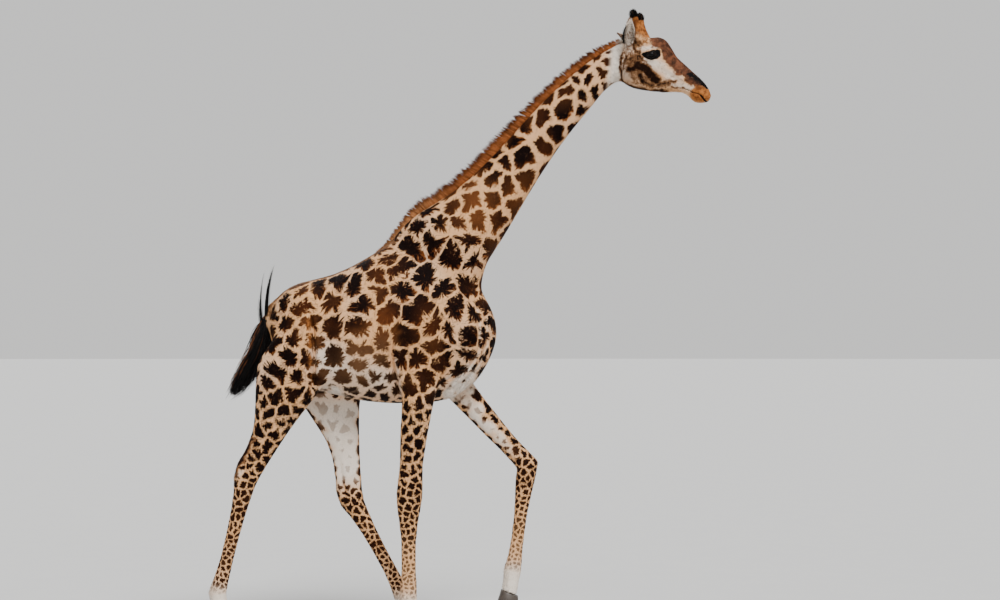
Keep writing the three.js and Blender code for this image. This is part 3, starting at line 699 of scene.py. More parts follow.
def add_ears(mesh):
    """Adds the two ears to the skin's mesh, as hollow leaves with a thickness."""
    bm = bmesh.new()
    bm.from_mesh(mesh)
    for side in EARS:
        root, way, opens, edge = ear_frame(side)

        def place(u, v):
            share = v * 0.985
            across = math.sin(math.pi * (u - 0.5))
            half, out = ear_leaf(share, across)
            return turned_head(root + way * share + edge * half * across + opens * out)

        ear = bmesh.new()
        sheet(ear, 18, 26, place)
        bmesh.ops.recalc_face_normals(ear, faces=ear.faces)
        bmesh.ops.solidify(ear, geom=ear.faces[:], thickness=0.0055)
        bmesh.ops.recalc_face_normals(ear, faces=ear.faces)
        part = mesh_of(ear, "ear")
        bm.from_mesh(part)
        bpy.data.meshes.remove(part)
    bm.to_mesh(mesh)
    bm.free()


# ------------------------------------------------------------------ the markings
# Lines of (x, z) in the straight head's layout, with a half width and a soft border.
BROWN_MARKS = [
    ([(1.149, 3.773), (1.197, 3.745), (1.230, 3.711), (1.262, 3.677)], 0.032, 0.016),
    ([(1.240, 3.712), (1.272, 3.668)], 0.020, 0.018),
    ([(1.159, 3.852), (1.149, 3.813), (1.159, 3.773)], 0.014, 0.016),
    ([(1.115, 3.887), (1.152, 3.850), (1.185, 3.800)], 0.008, 0.012),
    ([(1.087, 3.743), (1.128, 3.747)], 0.020, 0.013),
    ([(1.162, 3.706), (1.173, 3.660)], 0.018, 0.014),
    ([(1.196, 3.657), (1.240, 3.640)], 0.009, 0.014),
    ([(1.274, 3.646), (1.300, 3.642), (1.345, 3.652)], 0.015, 0.020),
    ([(1.350, 3.655), (1.395, 3.664)], 0.006, 0.014),
    ([(1.370, 3.628), (1.450, 3.610)], 0.003, 0.010),
    ([(1.069, 3.837), (1.048, 3.784), (1.041, 3.751)], 0.009, 0.014),
    ([(1.036, 3.848), (1.017, 3.790), (1.017, 3.746), (1.020, 3.713), (1.024, 3.679)], 0.010, 0.010),
    # This thin line along the lower edge of the jaw is painted shadow.
    ([(1.024, 3.673), (1.073, 3.644), (1.128, 3.627), (1.197, 3.614)], 0.006, 0.009),
    ([(0.942, 3.642), (0.975, 3.652), (1.005, 3.668)], 0.014, 0.012),
    ([(1.108, 3.954), (1.128, 3.920), (1.156, 3.906)], 0.014, 0.018),
    ([(1.095, 3.925), (1.120, 3.896)], 0.010, 0.014),
    ([(1.165, 3.930), (1.180, 3.900)], 0.006, 0.014),
    ([(1.098, 4.010), (1.118, 3.975), (1.132, 3.940)], 0.007, 0.016),
    ([(1.410, 3.722), (1.440, 3.698), (1.477, 3.676), (1.510, 3.660)], 0.006, 0.014),
    ([(1.470, 3.668), (1.500, 3.650), (1.545, 3.628)], 0.012, 0.014),
    ([(1.375, 3.828), (1.420, 3.785), (1.450, 3.758)], 0.012, 0.014),
]
BLACK_MARKS = [
    ([(1.488, 3.706), (1.523, 3.682), (1.556, 3.658), (1.590, 3.632)], 0.018, 0.030),
    (NOSTRIL, 0.0060, 0.004),
    (MOUTH[:4], 0.0060, 0.005),
    (MOUTH[3:], 0.0022, 0.003),
]
# The painted shadow under the jaw: a brown line on the skin that faces down, in the straight head's layout.
JAW_SHADOW = [(1.024, 3.668), (1.090, 3.634), (1.200, 3.606), (1.330, 3.598)]
# Pale lines along the folds behind the elbow, the brown edge of the thigh, and the dark tendon and the
# pale hollow of the near hock, as (x, z) in the animal's layout.
ELBOW_CREASE = [(-0.482, 1.820), (-0.466, 1.700), (-0.455, 1.580)]
THIGH_EDGE = [(-1.060, 2.080), (-1.046, 1.920), (-1.040, 1.780), (-1.048, 1.600)]
HOCK_TENDON = [(-1.436, 1.285), (-1.453, 1.250), (-1.493, 1.185), (-1.531, 1.110), (-1.545, 1.075)]
HOCK_HOLLOW = [(-1.492, 1.078), (-1.520, 1.056)]
# Corners of the dark patch around the eye, in the straight head's layout, clockwise.
EYE_PATCH = [
    (1.171, 3.842), (1.197, 3.857), (1.243, 3.865), (1.277, 3.873), (1.300, 3.864), (1.302, 3.824),
    (1.278, 3.806), (1.240, 3.799), (1.205, 3.810),
]
# Places on the head that are whiter or browner than its tan ground: middle, radii, lean, share.
WHITE_PLACES = [
    ((1.330, 3.722), (0.160, 0.032), -0.62, 0.66),
    ((1.250, 3.782), (0.100, 0.034), -0.30, 0.80),
    ((1.225, 3.884), (0.068, 0.016), 0.12, 0.85),
    ((1.060, 3.715), (0.052, 0.052), 0.0, 0.50),
    ((0.985, 3.800), (0.070, 0.200), 0.0, 1.0),
    ((1.080, 3.900), (0.050, 0.060), 0.0, 0.7),
    ((1.440, 3.628), (0.110, 0.022), -0.25, 0.7),
]
BROWN_PLACES = [
    ((1.125, 3.800), (0.085, 0.080), -0.6, 0.62),
    ((1.150, 3.720), (0.110, 0.060), -0.6, 0.56),
    ((1.230, 3.650), (0.140, 0.034), -0.05, 0.52),
    ((1.130, 3.912), (0.055, 0.045), 0.0, 0.58),
    ((1.340, 3.655), (0.060, 0.022), 0.0, 0.50),
    ((1.075, 3.870), (0.040, 0.050), 0.0, 0.45),
]
# The lower border of the brown band over the bridge of the nose.
NOSE_BAND = [
    (1.080, 4.010), (1.190, 3.972), (1.226, 3.935), (1.250, 3.895), (1.300, 3.860), (1.318, 3.816),
    (1.338, 3.772), (1.386, 3.722), (1.430, 3.690), (1.470, 3.668), (1.510, 3.628), (1.550, 3.608),
    (1.620, 3.600),
]
# Values along a limb, from its top at 0 over the knee or hock at 1 and the fetlock at 2 to the foot at 3,
# and along the neck, from its foot at 0 to the head at 1: the places, then the values.
ALONG_LIMB = {
    "hind patches": ([0, 0.5, 1, 1.4, 2, 3], [0.106, 0.078, 0.053, 0.039, 0.031, 0.028]),
    "fore patches": ([0, 0.5, 1, 1.4, 2, 3], [0.098, 0.070, 0.050, 0.034, 0.028, 0.026]),
    "line": ([0, 0.6, 1, 1.4, 3], [0.0095, 0.0068, 0.0044, 0.0036, 0.0038]),
    "pale": ([0, 0.7, 1.5, 1.88, 2.02, 3], [0.05, 0.0, 0.0, 0.12, 0.90, 1.0]),
    "shown": ([0, 1.0, 1.75, 1.90, 2.02, 2.15], [1, 1, 0.95, 0.80, 0.10, 0]),
    "shown on forelegs": ([1.15, 1.45, 2.0], [1, 0.70, 0.50]),
    "dark": ([0, 0.6, 1, 1.4, 2], [1.0, 1.0, 0.95, 0.84, 0.82]),
    "jag": ([0, 1, 2], [0.95, 0.80, 0.60]),
}
LIMB_PATCHES = ("hind patches", "fore patches")
ALONG_NECK = {
    "patches": ([0, 0.3, 0.7, 1], [0.150, 0.146, 0.114, 0.088]),
    "line": ([0, 0.35, 1], [0.014, 0.017, 0.015]),
    "pale": ([0, 0.3, 0.8, 1], [0.03, 0.04, 0.14, 0.50]),
    "dark": ([0, 0.22, 0.5, 0.8, 1], [0.90, 0.72, 0.85, 0.97, 1.0]),
    "jag": ([0, 0.3, 0.6, 1], [0.90, 0.50, 0.60, 0.70]),
}


def mark(flat, line, half, soft):
    """0.5 on the border of a mark drawn along a line, rising to 1 inside and falling to 0 outside."""
    away = along(flat, line)[1]
    return np.clip(0.5 + (half - away) / (2 * soft), 0, 1)


def marks(flat, drawn):
    return np.max([mark(flat, *one) for one in drawn], axis=0)


def within(flat, corners, soft):
    """0.5 on the border of a mark with corners, told clockwise, rising inside and falling outside."""
    corners = np.asarray(corners)
    ways = unit(np.roll(corners, -1, axis=0) - corners)
    inside = [(flat[:, 0] - a[0]) * w[1] - (flat[:, 1] - a[1]) * w[0] for a, w in zip(corners, ways)]
    return np.clip(0.5 + np.min(inside, axis=0) / (2 * soft), 0, 1)


def places_share(flat, places):
    """The strongest of some oval soft places."""
    best = np.zeros(len(flat))
    for middle, radii, lean, share in places:
        c, s = math.cos(lean), math.sin(lean)
        d = flat - middle
        turned = np.stack([d[:, 0] * c + d[:, 1] * s, d[:, 1] * c - d[:, 0] * s], -1) / radii
        best = np.maximum(best, share * np.exp(-(np.linalg.norm(turned, axis=1) ** 3)))
    return best


def above_line(flat, line):
    """How far points lie above a line that runs from left to right."""
    line = np.asarray(line)
    return flat[:, 1] - np.interp(flat[:, 0], line[:, 0], line[:, 1])


def ruffled(flat, points, amount, size, seed):
    """Flat places moved about by soft waves, so that what is drawn on them has uneven borders."""
    return flat + amount * np.stack([waves(points, size, seed), waves(points, size, seed + 1)], -1)


def spot(p, x, z, radii, slope=0.0):
    """A soft oval place seen from the side: 1 at its middle, 0.37 at its radii."""
    ahead = p[:, 0] - x
    above = p[:, 2] - z - slope * ahead
    return np.exp(-((ahead / radii[0]) ** 2) - ((above / radii[1]) ** 2))


def creases(flat, lines, half):
    return np.max([np.exp(-((along(flat, one)[1] / half) ** 2)) for one in lines], axis=0)


class Places:
    """Where the points of the skin lie, and the soft regions that several of its markings share."""

    def __init__(self, points, normals):
        self.points = points
        self.normals = normals
        self.p = layout(points)
        self.s = straight_head(points)
        self.beside = self.p[:, [0, 2]]
        self.flat = self.s[:, [0, 2]]
        self.drawn = ruffled(self.flat, self.s, 0.0045, 0.030, 51)
        zone = zones(points)
        self.neck, self.up_neck, self.tail = zone["neck"], zone["up_neck"], zone["tail"]
        leg, self.down, self.on_leg = leg_places(points)
        self.hind = HIND[leg]
        self.leg_side = np.sign([joints[0][1] for joints in LEGS.values()])[leg]
        self.inner = self.inner_limbs()
        self.under = smooth(-0.35, -0.8, normals[:, 2]) * smooth(2.0, 1.7, self.p[:, 2])
        self.fade = waves(points, 0.20, 31)
        self.rough = 1 + 0.35 * waves(points, 0.05, 36) + 0.30 * waves(points, 0.018, 59)
        self.side = smooth(0.12, 0.45, np.abs(normals[:, 1]))
        self.bare, self.seams, self.flank = self.bare_skin(), self.breast_seams(), self.flanks()
        self.tendon, self.hollow = self.hock_marks()
        self.head_regions()

    def on_neck(self, value, name, more=0.0):
        """A value that gives way to its table on the neck."""
        return mix(value, np.interp(self.up_neck, *ALONG_NECK[name]) + more, self.neck)

    def on_limb(self, value, name):
        """A value that gives way to its table on the limbs."""
        return mix(value, np.interp(self.down, *ALONG_LIMB[name]), self.on_leg)

    def inner_limbs(self):
        """The inner sides of the limbs above the knees and hocks."""
        hind, normals = self.hind, self.normals
        inward = -normals[:, 1] * self.leg_side + 0.20 * waves(self.points, 0.06, 33)
        ahead = np.where(hind, 0.0, 0.55 * np.clip(normals[:, 0] + 0.5 * normals[:, 2], 0, 1))
        inner = smooth(np.where(hind, 0.40, 0.62), np.where(hind, 0.92, 0.96), inward - ahead)
        return inner * (1 - smooth(np.where(hind, 0.72, 0.60), np.where(hind, 1.0, 0.95), self.down))

    def bare_skin(self):
        """The thinly haired skin of the groin and the brisket."""
        p, rough = self.p, self.rough
        groin = rough * spot(p, -0.90, 1.60, (0.10, 0.10)) * smooth(0.75, 0.45, np.abs(self.normals[:, 1]))
        brisket = rough * spot(p, -0.06, 1.63, (0.15, 0.085), 0.45)
        return np.clip(np.maximum(groin, 1.1 * brisket) * (p[:, 2] > 1.45), 0, 1)

    def breast_seams(self):
        """The bottoms of the folds of the breast and behind the elbow."""
        breast = creases(self.beside, (BREAST_ONE[2:], BREAST_TWO[1:]), 0.010)
        elbow = creases(self.beside, (ELBOW_CREASE,), 0.013)
        return np.maximum(breast, elbow) * (np.abs(self.p[:, 1]) > 0.05)

    def flanks(self):
        """The flanks between the ribs and the thighs, where the patches fade."""
        drift = 0.06 * waves(self.points, 0.11, 57) + 0.03 * waves(self.points, 0.04, 58)
        x, z = self.p[:, 0] + drift, self.p[:, 2] + drift
        return smooth(2.22, 1.92, z) * smooth(-0.38, -0.56, x) * smooth(-1.05, -0.92, x) * (1 - self.on_leg)

    def hock_marks(self):
        """The dark tendon and the pale hollow on the outer side of the near hock."""
        wavy = ruffled(self.beside, self.points, 0.010, 0.035, 60)
        outer = smooth(-0.2, 0.3, self.normals[:, 1] * self.leg_side)
        near_hind = self.on_leg * self.hind * (self.leg_side < 0) * outer
        tendon, hollow = mark(wavy, HOCK_TENDON, 0.018, 0.016), mark(wavy, HOCK_HOLLOW, 0.008, 0.014)
        return tendon * near_hind, hollow * near_hind

    def head_regions(self):
        """The head, the throat behind the jaw, the horns and the brow."""
        s, flat, high = self.s, self.flat, self.p[:, 2]
        level = 3.85 - flat[:, 1]
        self.jaw_back = smooth(0.900, 0.975, flat[:, 0] + 0.12 * level) * smooth(HEAD_FLOOR, 3.5, high)
        self.on_head = smooth(0.985, 1.045, flat[:, 0] + 0.10 * level) * (high > HEAD_FLOOR)
        uneven = s[:, 2] + 0.016 * waves(s * (2.5, 2.5, 0.6), 0.030, 55)
        self.horn_up = smooth(3.915, 4.00, uneven) * self.on_head * (flat[:, 0] < 1.215)
        brow = np.linalg.norm((flat - (1.190, 3.930)) / (0.070, 0.045), axis=1)
        self.brow = np.exp(-(brow**2)) * self.on_head


def patch_size(at):
    """How far apart the middles of neighbouring patches are."""
    p = at.p
    size = 0.150 - 0.020 * smooth(-0.95, -1.25, p[:, 0]) + 0.026 * spot(p, -0.22, 2.35, (0.34, 0.30))
    over_back = p[:, 2] + 0.35 * (p[:, 0] + 0.5) * (p[:, 0] < -0.3)
    size = size - 0.030 * smooth(2.45, 2.75, over_back) * (p[:, 0] < -0.45)
    size = mix(size, 0.110, smooth(-0.2, -0.6, at.normals[:, 2]) * (p[:, 2] < 1.8))
    size = at.on_neck(size, "patches")
    hind, fore = (np.interp(at.down, *ALONG_LIMB[name]) for name in LIMB_PATCHES)
    return mix(size, np.where(at.hind, hind, fore), at.on_leg)


def scatter(points, size, seed):
    """Middles of patches: some of the points, none nearer to another than its size allows."""
    rng = np.random.default_rng(seed)
    kept = np.empty((0, 3))
    reach = np.empty(0)
    for i in rng.permutation(len(points))[:42000]:
        away = np.linalg.norm(kept - points[i], axis=1)
        if len(kept) == 0 or (away > 0.40 * (reach + size[i])).all():
            kept = np.vstack([kept, points[i]])
            reach = np.append(reach, size[i])
    return kept


def patch_fields(at, size, middles):
    """For each point: how deep it lies in its patch, the way from the patch's middle, and its number."""
    points = at.points
    tree = KDTree(len(middles))
    for i, middle in enumerate(middles):
        tree.insert(middle, i)
    tree.balance()
    wide, fine = (np.stack([waves(points, across, k) for k in (3, 4, 5)], -1) for across in (0.095, 0.036))
    bent = points + 0.13 * size[:, None] * mix(wide, fine, at.on_leg[:, None])
    near = np.array([[hit[1] for hit in tree.find_n(p, 5)] for p in bent])
    away = np.linalg.norm(bent[:, None] - middles[near], axis=2)
    gap = np.linalg.norm(middles[near[:, 1:]] - middles[near[:, :1]], axis=2)
    edge = ((away[:, 1:] ** 2 - away[:, :1] ** 2) / (2 * gap)).min(1)
    own = np.random.default_rng(8).random(len(middles))[near[:, 0]]
    return edge / size, (bent - middles[near[:, 0]]) / size[:, None], own


def line_widths(at):
    """Widths of the pale lines between the patches, in metres."""
    line = at.on_neck(np.full(len(at.points), 0.0122), "line")
    line = at.on_limb(mix(line, 0.017, at.under), "line")
    line = mix(line, 0.019, at.on_leg * at.inner)
    uneven = 0.25 * waves(at.points, 0.030, 38) + 0.35 * waves(at.points, 0.09, 39) * (at.down > 0.9)
    return line * (1 + at.on_leg * uneven)


def pale_shares(at):
    """How white the ground between the patches is."""
    pale = at.on_neck(0.06 + 0.10 * at.fade, "pale")
    pale = mix(pale, 1.0, at.jaw_back)
    pale = at.on_limb(mix(pale, 0.75, at.under), "pale")
    pale = mix(pale, 0.92, at.on_leg * at.inner)
    loin = smooth(2.08, 1.82, at.p[:, 2] + 0.5 * (at.p[:, 0] + 0.95))
    pale = np.maximum(pale, 0.75 * loin * at.flank * (0.85 + 0.25 * at.fade))
    pale = np.maximum(pale, np.clip(0.95 * at.bare + 0.40 * at.seams * at.rough, 0, 1))
    return np.maximum(pale, 0.6 * at.hollow)


def shown_shares(at):
    """How far the patches show."""
    shown = mix(np.ones(len(at.points)), 0.75, at.under)
    limb = np.interp(at.down, *ALONG_LIMB["shown"])
    foreleg = np.minimum(limb, np.interp(at.down, *ALONG_LIMB["shown on forelegs"]))
    shown = mix(shown, np.where(at.hind, limb, foreleg) * (1 - 0.60 * at.inner), at.on_leg)
    shown = shown * (1 - smooth(0.25, 0.90, at.bare)) * (1 - 0.3 * at.seams)
    return shown * (1 - at.jaw_back) * (1 - 0.8 * at.hollow) * (1 - 0.6 * at.tail)


def dark_shares(at):
    """How dark the patches are in their middles."""
    dark = at.on_neck(np.clip(0.97 + 0.22 * at.fade, 0, 1), "dark", 0.30 * at.fade)
    dark = at.on_limb(mix(dark, 0.50 + 0.3 * at.fade, at.flank), "dark")
    return np.clip(mix(dark, 0.12, at.on_leg * at.inner), 0, 1)


def grey_shares(at):
    """How far the patches fade to grey brown."""
    lower_foreleg = 0.45 * at.on_leg * ~at.hind * smooth(1.2, 1.5, at.down)
    flank = 0.8 * at.flank * smooth(2.12, 1.80, at.p[:, 2])
    faded = (flank, at.on_leg * at.inner * 0.9, 0.9 * at.under, lower_foreleg)
    return np.clip(np.max(faded, axis=0), 0, 1)


def jag_shares(at):
    """How jagged the patches' borders are."""
    jag = at.on_limb(at.on_neck(np.full(len(at.points), 1.0), "jag"), "jag")
    jag = mix(jag, 0.6, at.under)
    return mix(jag, 0.25, at.on_leg * at.inner)


def brown_shares(at):
    """The brown marks of the head and of the near hock, and a painted shadow along the underside of the jaw.
    """
    near_head = at.side * (at.flat[:, 0] > 0.93) * (at.p[:, 2] > HEAD_FLOOR)
    marked = np.maximum(marks(at.drawn, BROWN_MARKS), places_share(at.drawn, BROWN_PLACES))
    mottled = 0.10 + 0.05 * waves(at.s, 0.022, 56)
    # Painted shadow: brown along the jaw where the skin faces down.
    jaw = mark(at.drawn, JAW_SHADOW, 0.012, 0.014) * smooth(-0.1, -0.6, at.normals[:, 2]) * at.on_head
    head = np.maximum(mottled, marked) * near_head
    return np.max([head, at.tendon, jaw, 0.36 * at.brow, 0.26 * at.horn_up], axis=0)


def rust_shares(at):
    """The band over the bridge of the nose, and the crown between the horns."""
    ragged = ruffled(at.drawn, at.s, 0.007, 0.016, 53)
    band = np.clip(0.5 + above_line(ragged, NOSE_BAND) / 0.060, 0, 1) * at.on_head
    crown = smooth(0.065, 0.025, np.abs(at.s[:, 1])) * smooth(1.07, 1.13, at.flat[:, 0])
    crown = crown * smooth(0.1, 0.5, at.normals[:, 2])
    return np.maximum(band, 0.80 * crown * at.on_head * (at.s[:, 2] < 3.98))


def orange_shares(at):
    """The lips and muzzle, the horns, the brow and the thigh's front edge."""
    muzzle = np.linalg.norm((at.flat - (1.562, 3.572)) / (0.078, 0.056), axis=1)
    lips = np.clip(0.5 + (1 - muzzle) * 1.6, 0, 1) * at.on_head
    horn_pale = smooth(0.2, 0.9, -at.normals[:, 0]) * at.side * smooth(4.07, 4.0, at.s[:, 2])
    thigh = 0.42 * creases(at.beside, (THIGH_EDGE,), 0.024) * (at.p[:, 2] > 1.4)
    return np.max([lips, at.horn_up * (0.85 - 0.75 * horn_pale), thigh, 0.30 * at.brow], axis=0)


def black_shares(at):
    """The nostrils, lips and tear line, the patch round the eye, and the horns' tips."""
    lines = marks(at.flat, BLACK_MARKS) * np.maximum(at.side, at.flat[:, 0] > 1.44) * at.on_head
    steady = at.flat + 0.3 * (at.drawn - at.flat)
    eye = within(steady, EYE_PATCH, 0.005) * at.on_head * at.side
    return np.max([lines, eye, smooth(4.085, 4.10, at.s[:, 2]) * at.on_head], axis=0)


def white_shares(at):
    """How white the head's ground is, from tan to white."""
    tan = 0.12 + 0.14 * waves(at.points, 0.06, 34)
    return mix(tan, 1.0, places_share(at.drawn, WHITE_PLACES)) * (1 - 0.6 * at.horn_up)


def ear_shares(at, side):
    """Painted shade: black along one edge of an ear, standing in for the shaded back of its rim; and brown at
    its tip, on its back and in streaks inside.
    """
    root, way, opens, edge_way = ear_frame(side)
    d = at.s - root
    v = d @ way / (way @ way)
    across = d @ edge_way / 0.044
    inside = smooth(-0.1, 0.2, at.normals @ unit(head_way(opens)))
    # The black edge is painted shade on the back of the rim, not a colour of the ear.
    black = 0.85 * smooth(0.40, 0.75, np.abs(across)) * (across * side > 0) * smooth(1.0, 0.8, v)
    streaks = 0.5 + 0.5 * np.sin(across * 21 + 3 * waves(at.points, 0.04, 37))
    brown = (1 - inside) * 0.40 + 0.5 * smooth(0.8, 1.0, v) + 0.60 * streaks * smooth(0.9, 0.3, v)
    return black, brown


def paint(mesh, body_count):
    """Stores the markings on the skin, as shares of each colour that the coat's finish reads."""
    at = Places(vertices(mesh), vertex_normals(mesh))
    size = patch_size(at)
    middles = scatter(at.points[:body_count], size[:body_count], 21)
    edge, cell, own = patch_fields(at, size, middles)
    shown, white = shown_shares(at), white_shares(at)
    brown, rust, orange, black = brown_shares(at), rust_shares(at), orange_shares(at), black_shares(at)
    ear = np.arange(len(at.points)) >= body_count
    for side in EARS:
        mine = ear & (np.sign(at.s[:, 1]) == side)
        # The first share is painted shade: black along the back edge of each ear's rim.
        ear_shaded_edge, ear_brown = ear_shares(at, side)
        for field, value in ((black, ear_shaded_edge[mine]), (brown, ear_brown[mine]), (rust, 0), (orange, 0),
                             (shown, 0), (white, 0.9)):
            field[mine] = value
    pale = np.clip(mix(pale_shares(at), white, np.where(ear, 1, at.on_head)), 0, 1)
    crest = (at.p[:, 0] < -0.5) * (at.p[:, 2] > 2.1) * smooth(0.10, 0.03, np.abs(at.p[:, 1]))
    brown = np.max([brown, 0.55 * crest * (1 + 0.3 * at.fade), 0.15 * at.bare], axis=0)
    half = np.full(len(at.points), 0.5)
    store(mesh, "cell", cell)
    stored = {
        "mark": (edge, line_widths(at) / size, own),
        "tone": (pale, dark_shares(at), shown),
        "face": (brown, rust, orange),
        "deep": (black, grey_shares(at), jag_shares(at)),
        "strand": (half, half, at.on_leg),
    }
    for name, fields in stored.items():
        store(mesh, name, np.stack(fields, -1))


def hair_way(points, normals):
    """The way the hair lies at each point, along the skin."""
    p = layout(points)
    zone = zones(points)
    _, _, on_leg = leg_places(points)
    way = np.tile((-0.80, 0.0, -0.60), (len(points), 1))
    way = mix(way, np.array((-0.70, 0.0, -0.72)), zone["neck"][:, None])
    way = mix(way, np.array((-0.85, 0.0, 0.30)), zone["head"][:, None])
    horn = smooth(3.98, 4.03, p[:, 2]) * zone["head"]
    way = mix(way, np.array((-0.2, 0.0, 1.0)), horn[:, None])
    way = mix(way, np.array((-0.12, 0.0, -1.0)), on_leg[:, None])
    way = way - normals * (way * normals).sum(1)[:, None]
    return unit(way)


def unwrap(mesh):
    """A flat layout of the skin's own shape, for placing each tuft's patch."""
    holder = bpy.data.objects.new("unwrapped", mesh)
    bpy.context.scene.collection.objects.link(holder)
    mesh.uv_layers.new(name="OFBake")
    bpy.context.view_layer.objects.active = holder
    holder.select_set(True)
    bpy.ops.object.mode_set(mode="EDIT")
    bpy.ops.mesh.select_all(action="SELECT")
    bpy.ops.uv.smart_project(angle_limit=math.radians(70), island_margin=0.001)
    bpy.ops.object.mode_set(mode="OBJECT")
    bpy.data.objects.remove(holder)


# ------------------------------------------------------------------ finishes
def coat_finish(name, hair=False):
    """The coat: patches with jagged borders, the marks of the face, and the grain of short hair."""
    c = colours()
    f = Finish(name)
    edge, half, own = f.parts(f.attribute("mark"))
    pale, dark, shown = f.parts(f.attribute("tone"))
    brown, rust, orange = f.parts(f.attribute("face"))
    black, grey, jag = f.parts(f.attribute("deep"))
    _, chance, leg = f.parts(f.attribute("strand"))
    here = f.place()
    way = f.vector("NORMALIZE", f.attribute("cell"))
    lobes = f.noise(f.vector("MULTIPLY_ADD", way, (1.5, 1.5, 1.5), own * 37), 1.0, 1.0)
    rays = f.noise(f.vector("MULTIPLY_ADD", way, (5.5, 5.5, 5.5), own * 53), 1.0, 2.0, 0.6)
    spikes = f.noise(f.vector("MULTIPLY_ADD", way, (13.0, 13.0, 13.0), own * 71), 1.0, 1.0)
    fray = f.noise(here, 130, 3.0, 0.6)
    cloud = f.noise(here, 7, 3.0)

    rough = (fray - 0.5) * (0.10 + leg * 0.20)
    teeth = jag * ((lobes - 0.50) * 0.75 + (rays - 0.51) * 0.56 + (spikes - 0.50) * 0.40) + rough
    cut = (half * 0.20 + (1 - shown) * 0.10 + teeth + 0.008).sum("MAXIMUM", half * -0.40)
    depth = (edge - half * 0.75 - cut) * (1 - leg * 0.45)
    patch = f.step(depth, -0.018, 0.024) * f.step(shown, 0.03, 0.80)
    inner_teeth = jag * ((lobes - 0.50) * 0.70 + (rays - 0.51) * 1.00 + (spikes - 0.51) * 0.55) + rough * 1.3
    lean = f.vector("DOT_PRODUCT", f.attribute("cell"), (-0.35, 0.0, 0.75), out=1)
    core_depth = edge - half * (0.9 - leg * 0.4) - inner_teeth + lean * (1 - leg) * 0.20
    core = f.step(core_depth, -0.005, 0.100) * dark
    ground = f.blend(pale + (cloud - 0.5) * 0.25, c.cream, c.white)
    lighter = f.step(own + (cloud - 0.5) * 1.2 - dark * 0.35, -0.10, 0.70)
    rusty = f.blend(lighter, c.rust, (0.180, 0.058, 0.0155))
    spot = f.blend(core, rusty, c.dark)
    spot = f.blend(grey * 0.85, spot, f.blend(core * 1.1, c.grey, c.dark))
    shade = f.blend(patch, ground, spot)
    blots = f.noise(here, 42, 3.0, 0.6)
    face_rays = (fray - 0.5) * 1.1 + (blots - 0.5) * 1.2
    streaked = brown + face_rays * 0.8
    tawny = f.blend(blots, (0.24, 0.115, 0.050), (0.10, 0.040, 0.016))
    shade = f.blend(f.step(streaked, 0.12, 0.55), shade, tawny)
    shade = f.blend(f.step(streaked, 0.52, 0.90), shade, f.blend(blots, (0.020, 0.007, 0.003), c.dark))
    clouded = f.step(blots * 0.6 + f.noise(here, 19, 2.0) * 0.4, 0.36, 0.62)
    bridge = f.blend(clouded, (0.030, 0.012, 0.007), (0.150, 0.054, 0.026))
    shade = f.blend(f.step(rust + face_rays * 0.8, 0.12, 0.88), shade, bridge)
    lips = f.blend(f.step(blots, 0.34, 0.64), (0.15, 0.046, 0.012), c.orange)
    shade = f.blend(f.step(orange + face_rays * 0.6, 0.20, 0.85), shade, lips)
    shade = f.blend(f.step(black + face_rays * 0.65, 0.28, 0.72), shade, c.black)
    if hair:
        light = f.vector("MULTIPLY", shade, 0.78 + 0.44 * chance)
        return f.surface(light, 0.62 + (chance - 0.5) * 0.2, Specular_IOR_Level=0.04)
    body = f.noise(f.place((60, 430, 430), (0, -0.69, 0)), 1.0, 2.0)
    limb = f.noise(f.place((430, 430, 55)), 1.0, 2.0)
    grain = body + (limb - body) * leg
    skin = f.noise(here, 38, 2.0)
    normal = f.bump(grain * 0.7 + skin * 0.6 + fray * 0.2, 0.55, 0.004)
    light = f.vector("MULTIPLY", shade, 0.80 + grain * 0.40)
    return f.surface(light, 0.70 - grain * 0.2, normal, Specular_IOR_Level=0.04)


def mane_finish():
    """Upright hair: rust at the roots, dark brown at the tips, and sandy near the withers."""
    f = Finish("mane_hair")
    up, chance, down = f.parts(f.attribute("strand"))
    cloud = f.noise(f.place(), 9, 2.0)
    root = f.blend(f.step(down, 0.62, 1.0), (0.30, 0.092, 0.026), (0.38, 0.175, 0.070))
    tip = f.blend(f.step(down, 0.70, 1.0), (0.070, 0.019, 0.007), (0.22, 0.082, 0.030))
    shade = f.blend(f.step(up + (cloud - 0.5) * 0.7 + (chance - 0.5) * 0.35, 0.42, 0.95), root, tip)
    light = f.vector("MULTIPLY", shade, 0.38 + 1.20 * chance)
    return f.surface(light, 0.55 + 0.12 * cloud, Specular_IOR_Level=0.06)


def black_finish(name, warm):
    """Black hair, with a share of it warm brown: some locks at random, and on the tassel a painted highlight
    carried by the strand's third share.
    """
    c = colours()
    f = Finish(name)
    up, chance, painted_highlight = f.parts(f.attribute("strand"))
    # The strand's third share is a painted highlight on the tassel's locks; it is zero on the other black
    # hair.
    shade = f.blend(f.step(chance + painted_highlight, 1.0 - warm, 1.06 - warm), c.black, (0.13, 0.048, 0.020))
    light = f.vector("MULTIPLY", shade, 0.7 + 0.9 * chance)
    return f.surface(light, 0.45 + 0.10 * up, Specular_IOR_Level=0.10)


def pale_hair_finish():
    """The long white hair of the nape and the ears."""
    f = Finish("pale_hair")
    up, chance, _ = f.parts(f.attribute("strand"))
    shade = f.blend(f.step(chance + up * 0.2, 0.20, 1.05), (0.56, 0.49, 0.41), (0.13, 0.085, 0.055))
    light = f.vector("MULTIPLY", shade, 0.85 + 0.25 * chance)
    return f.surface(light, 0.6 + 0.1 * up, Specular_IOR_Level=0.06)


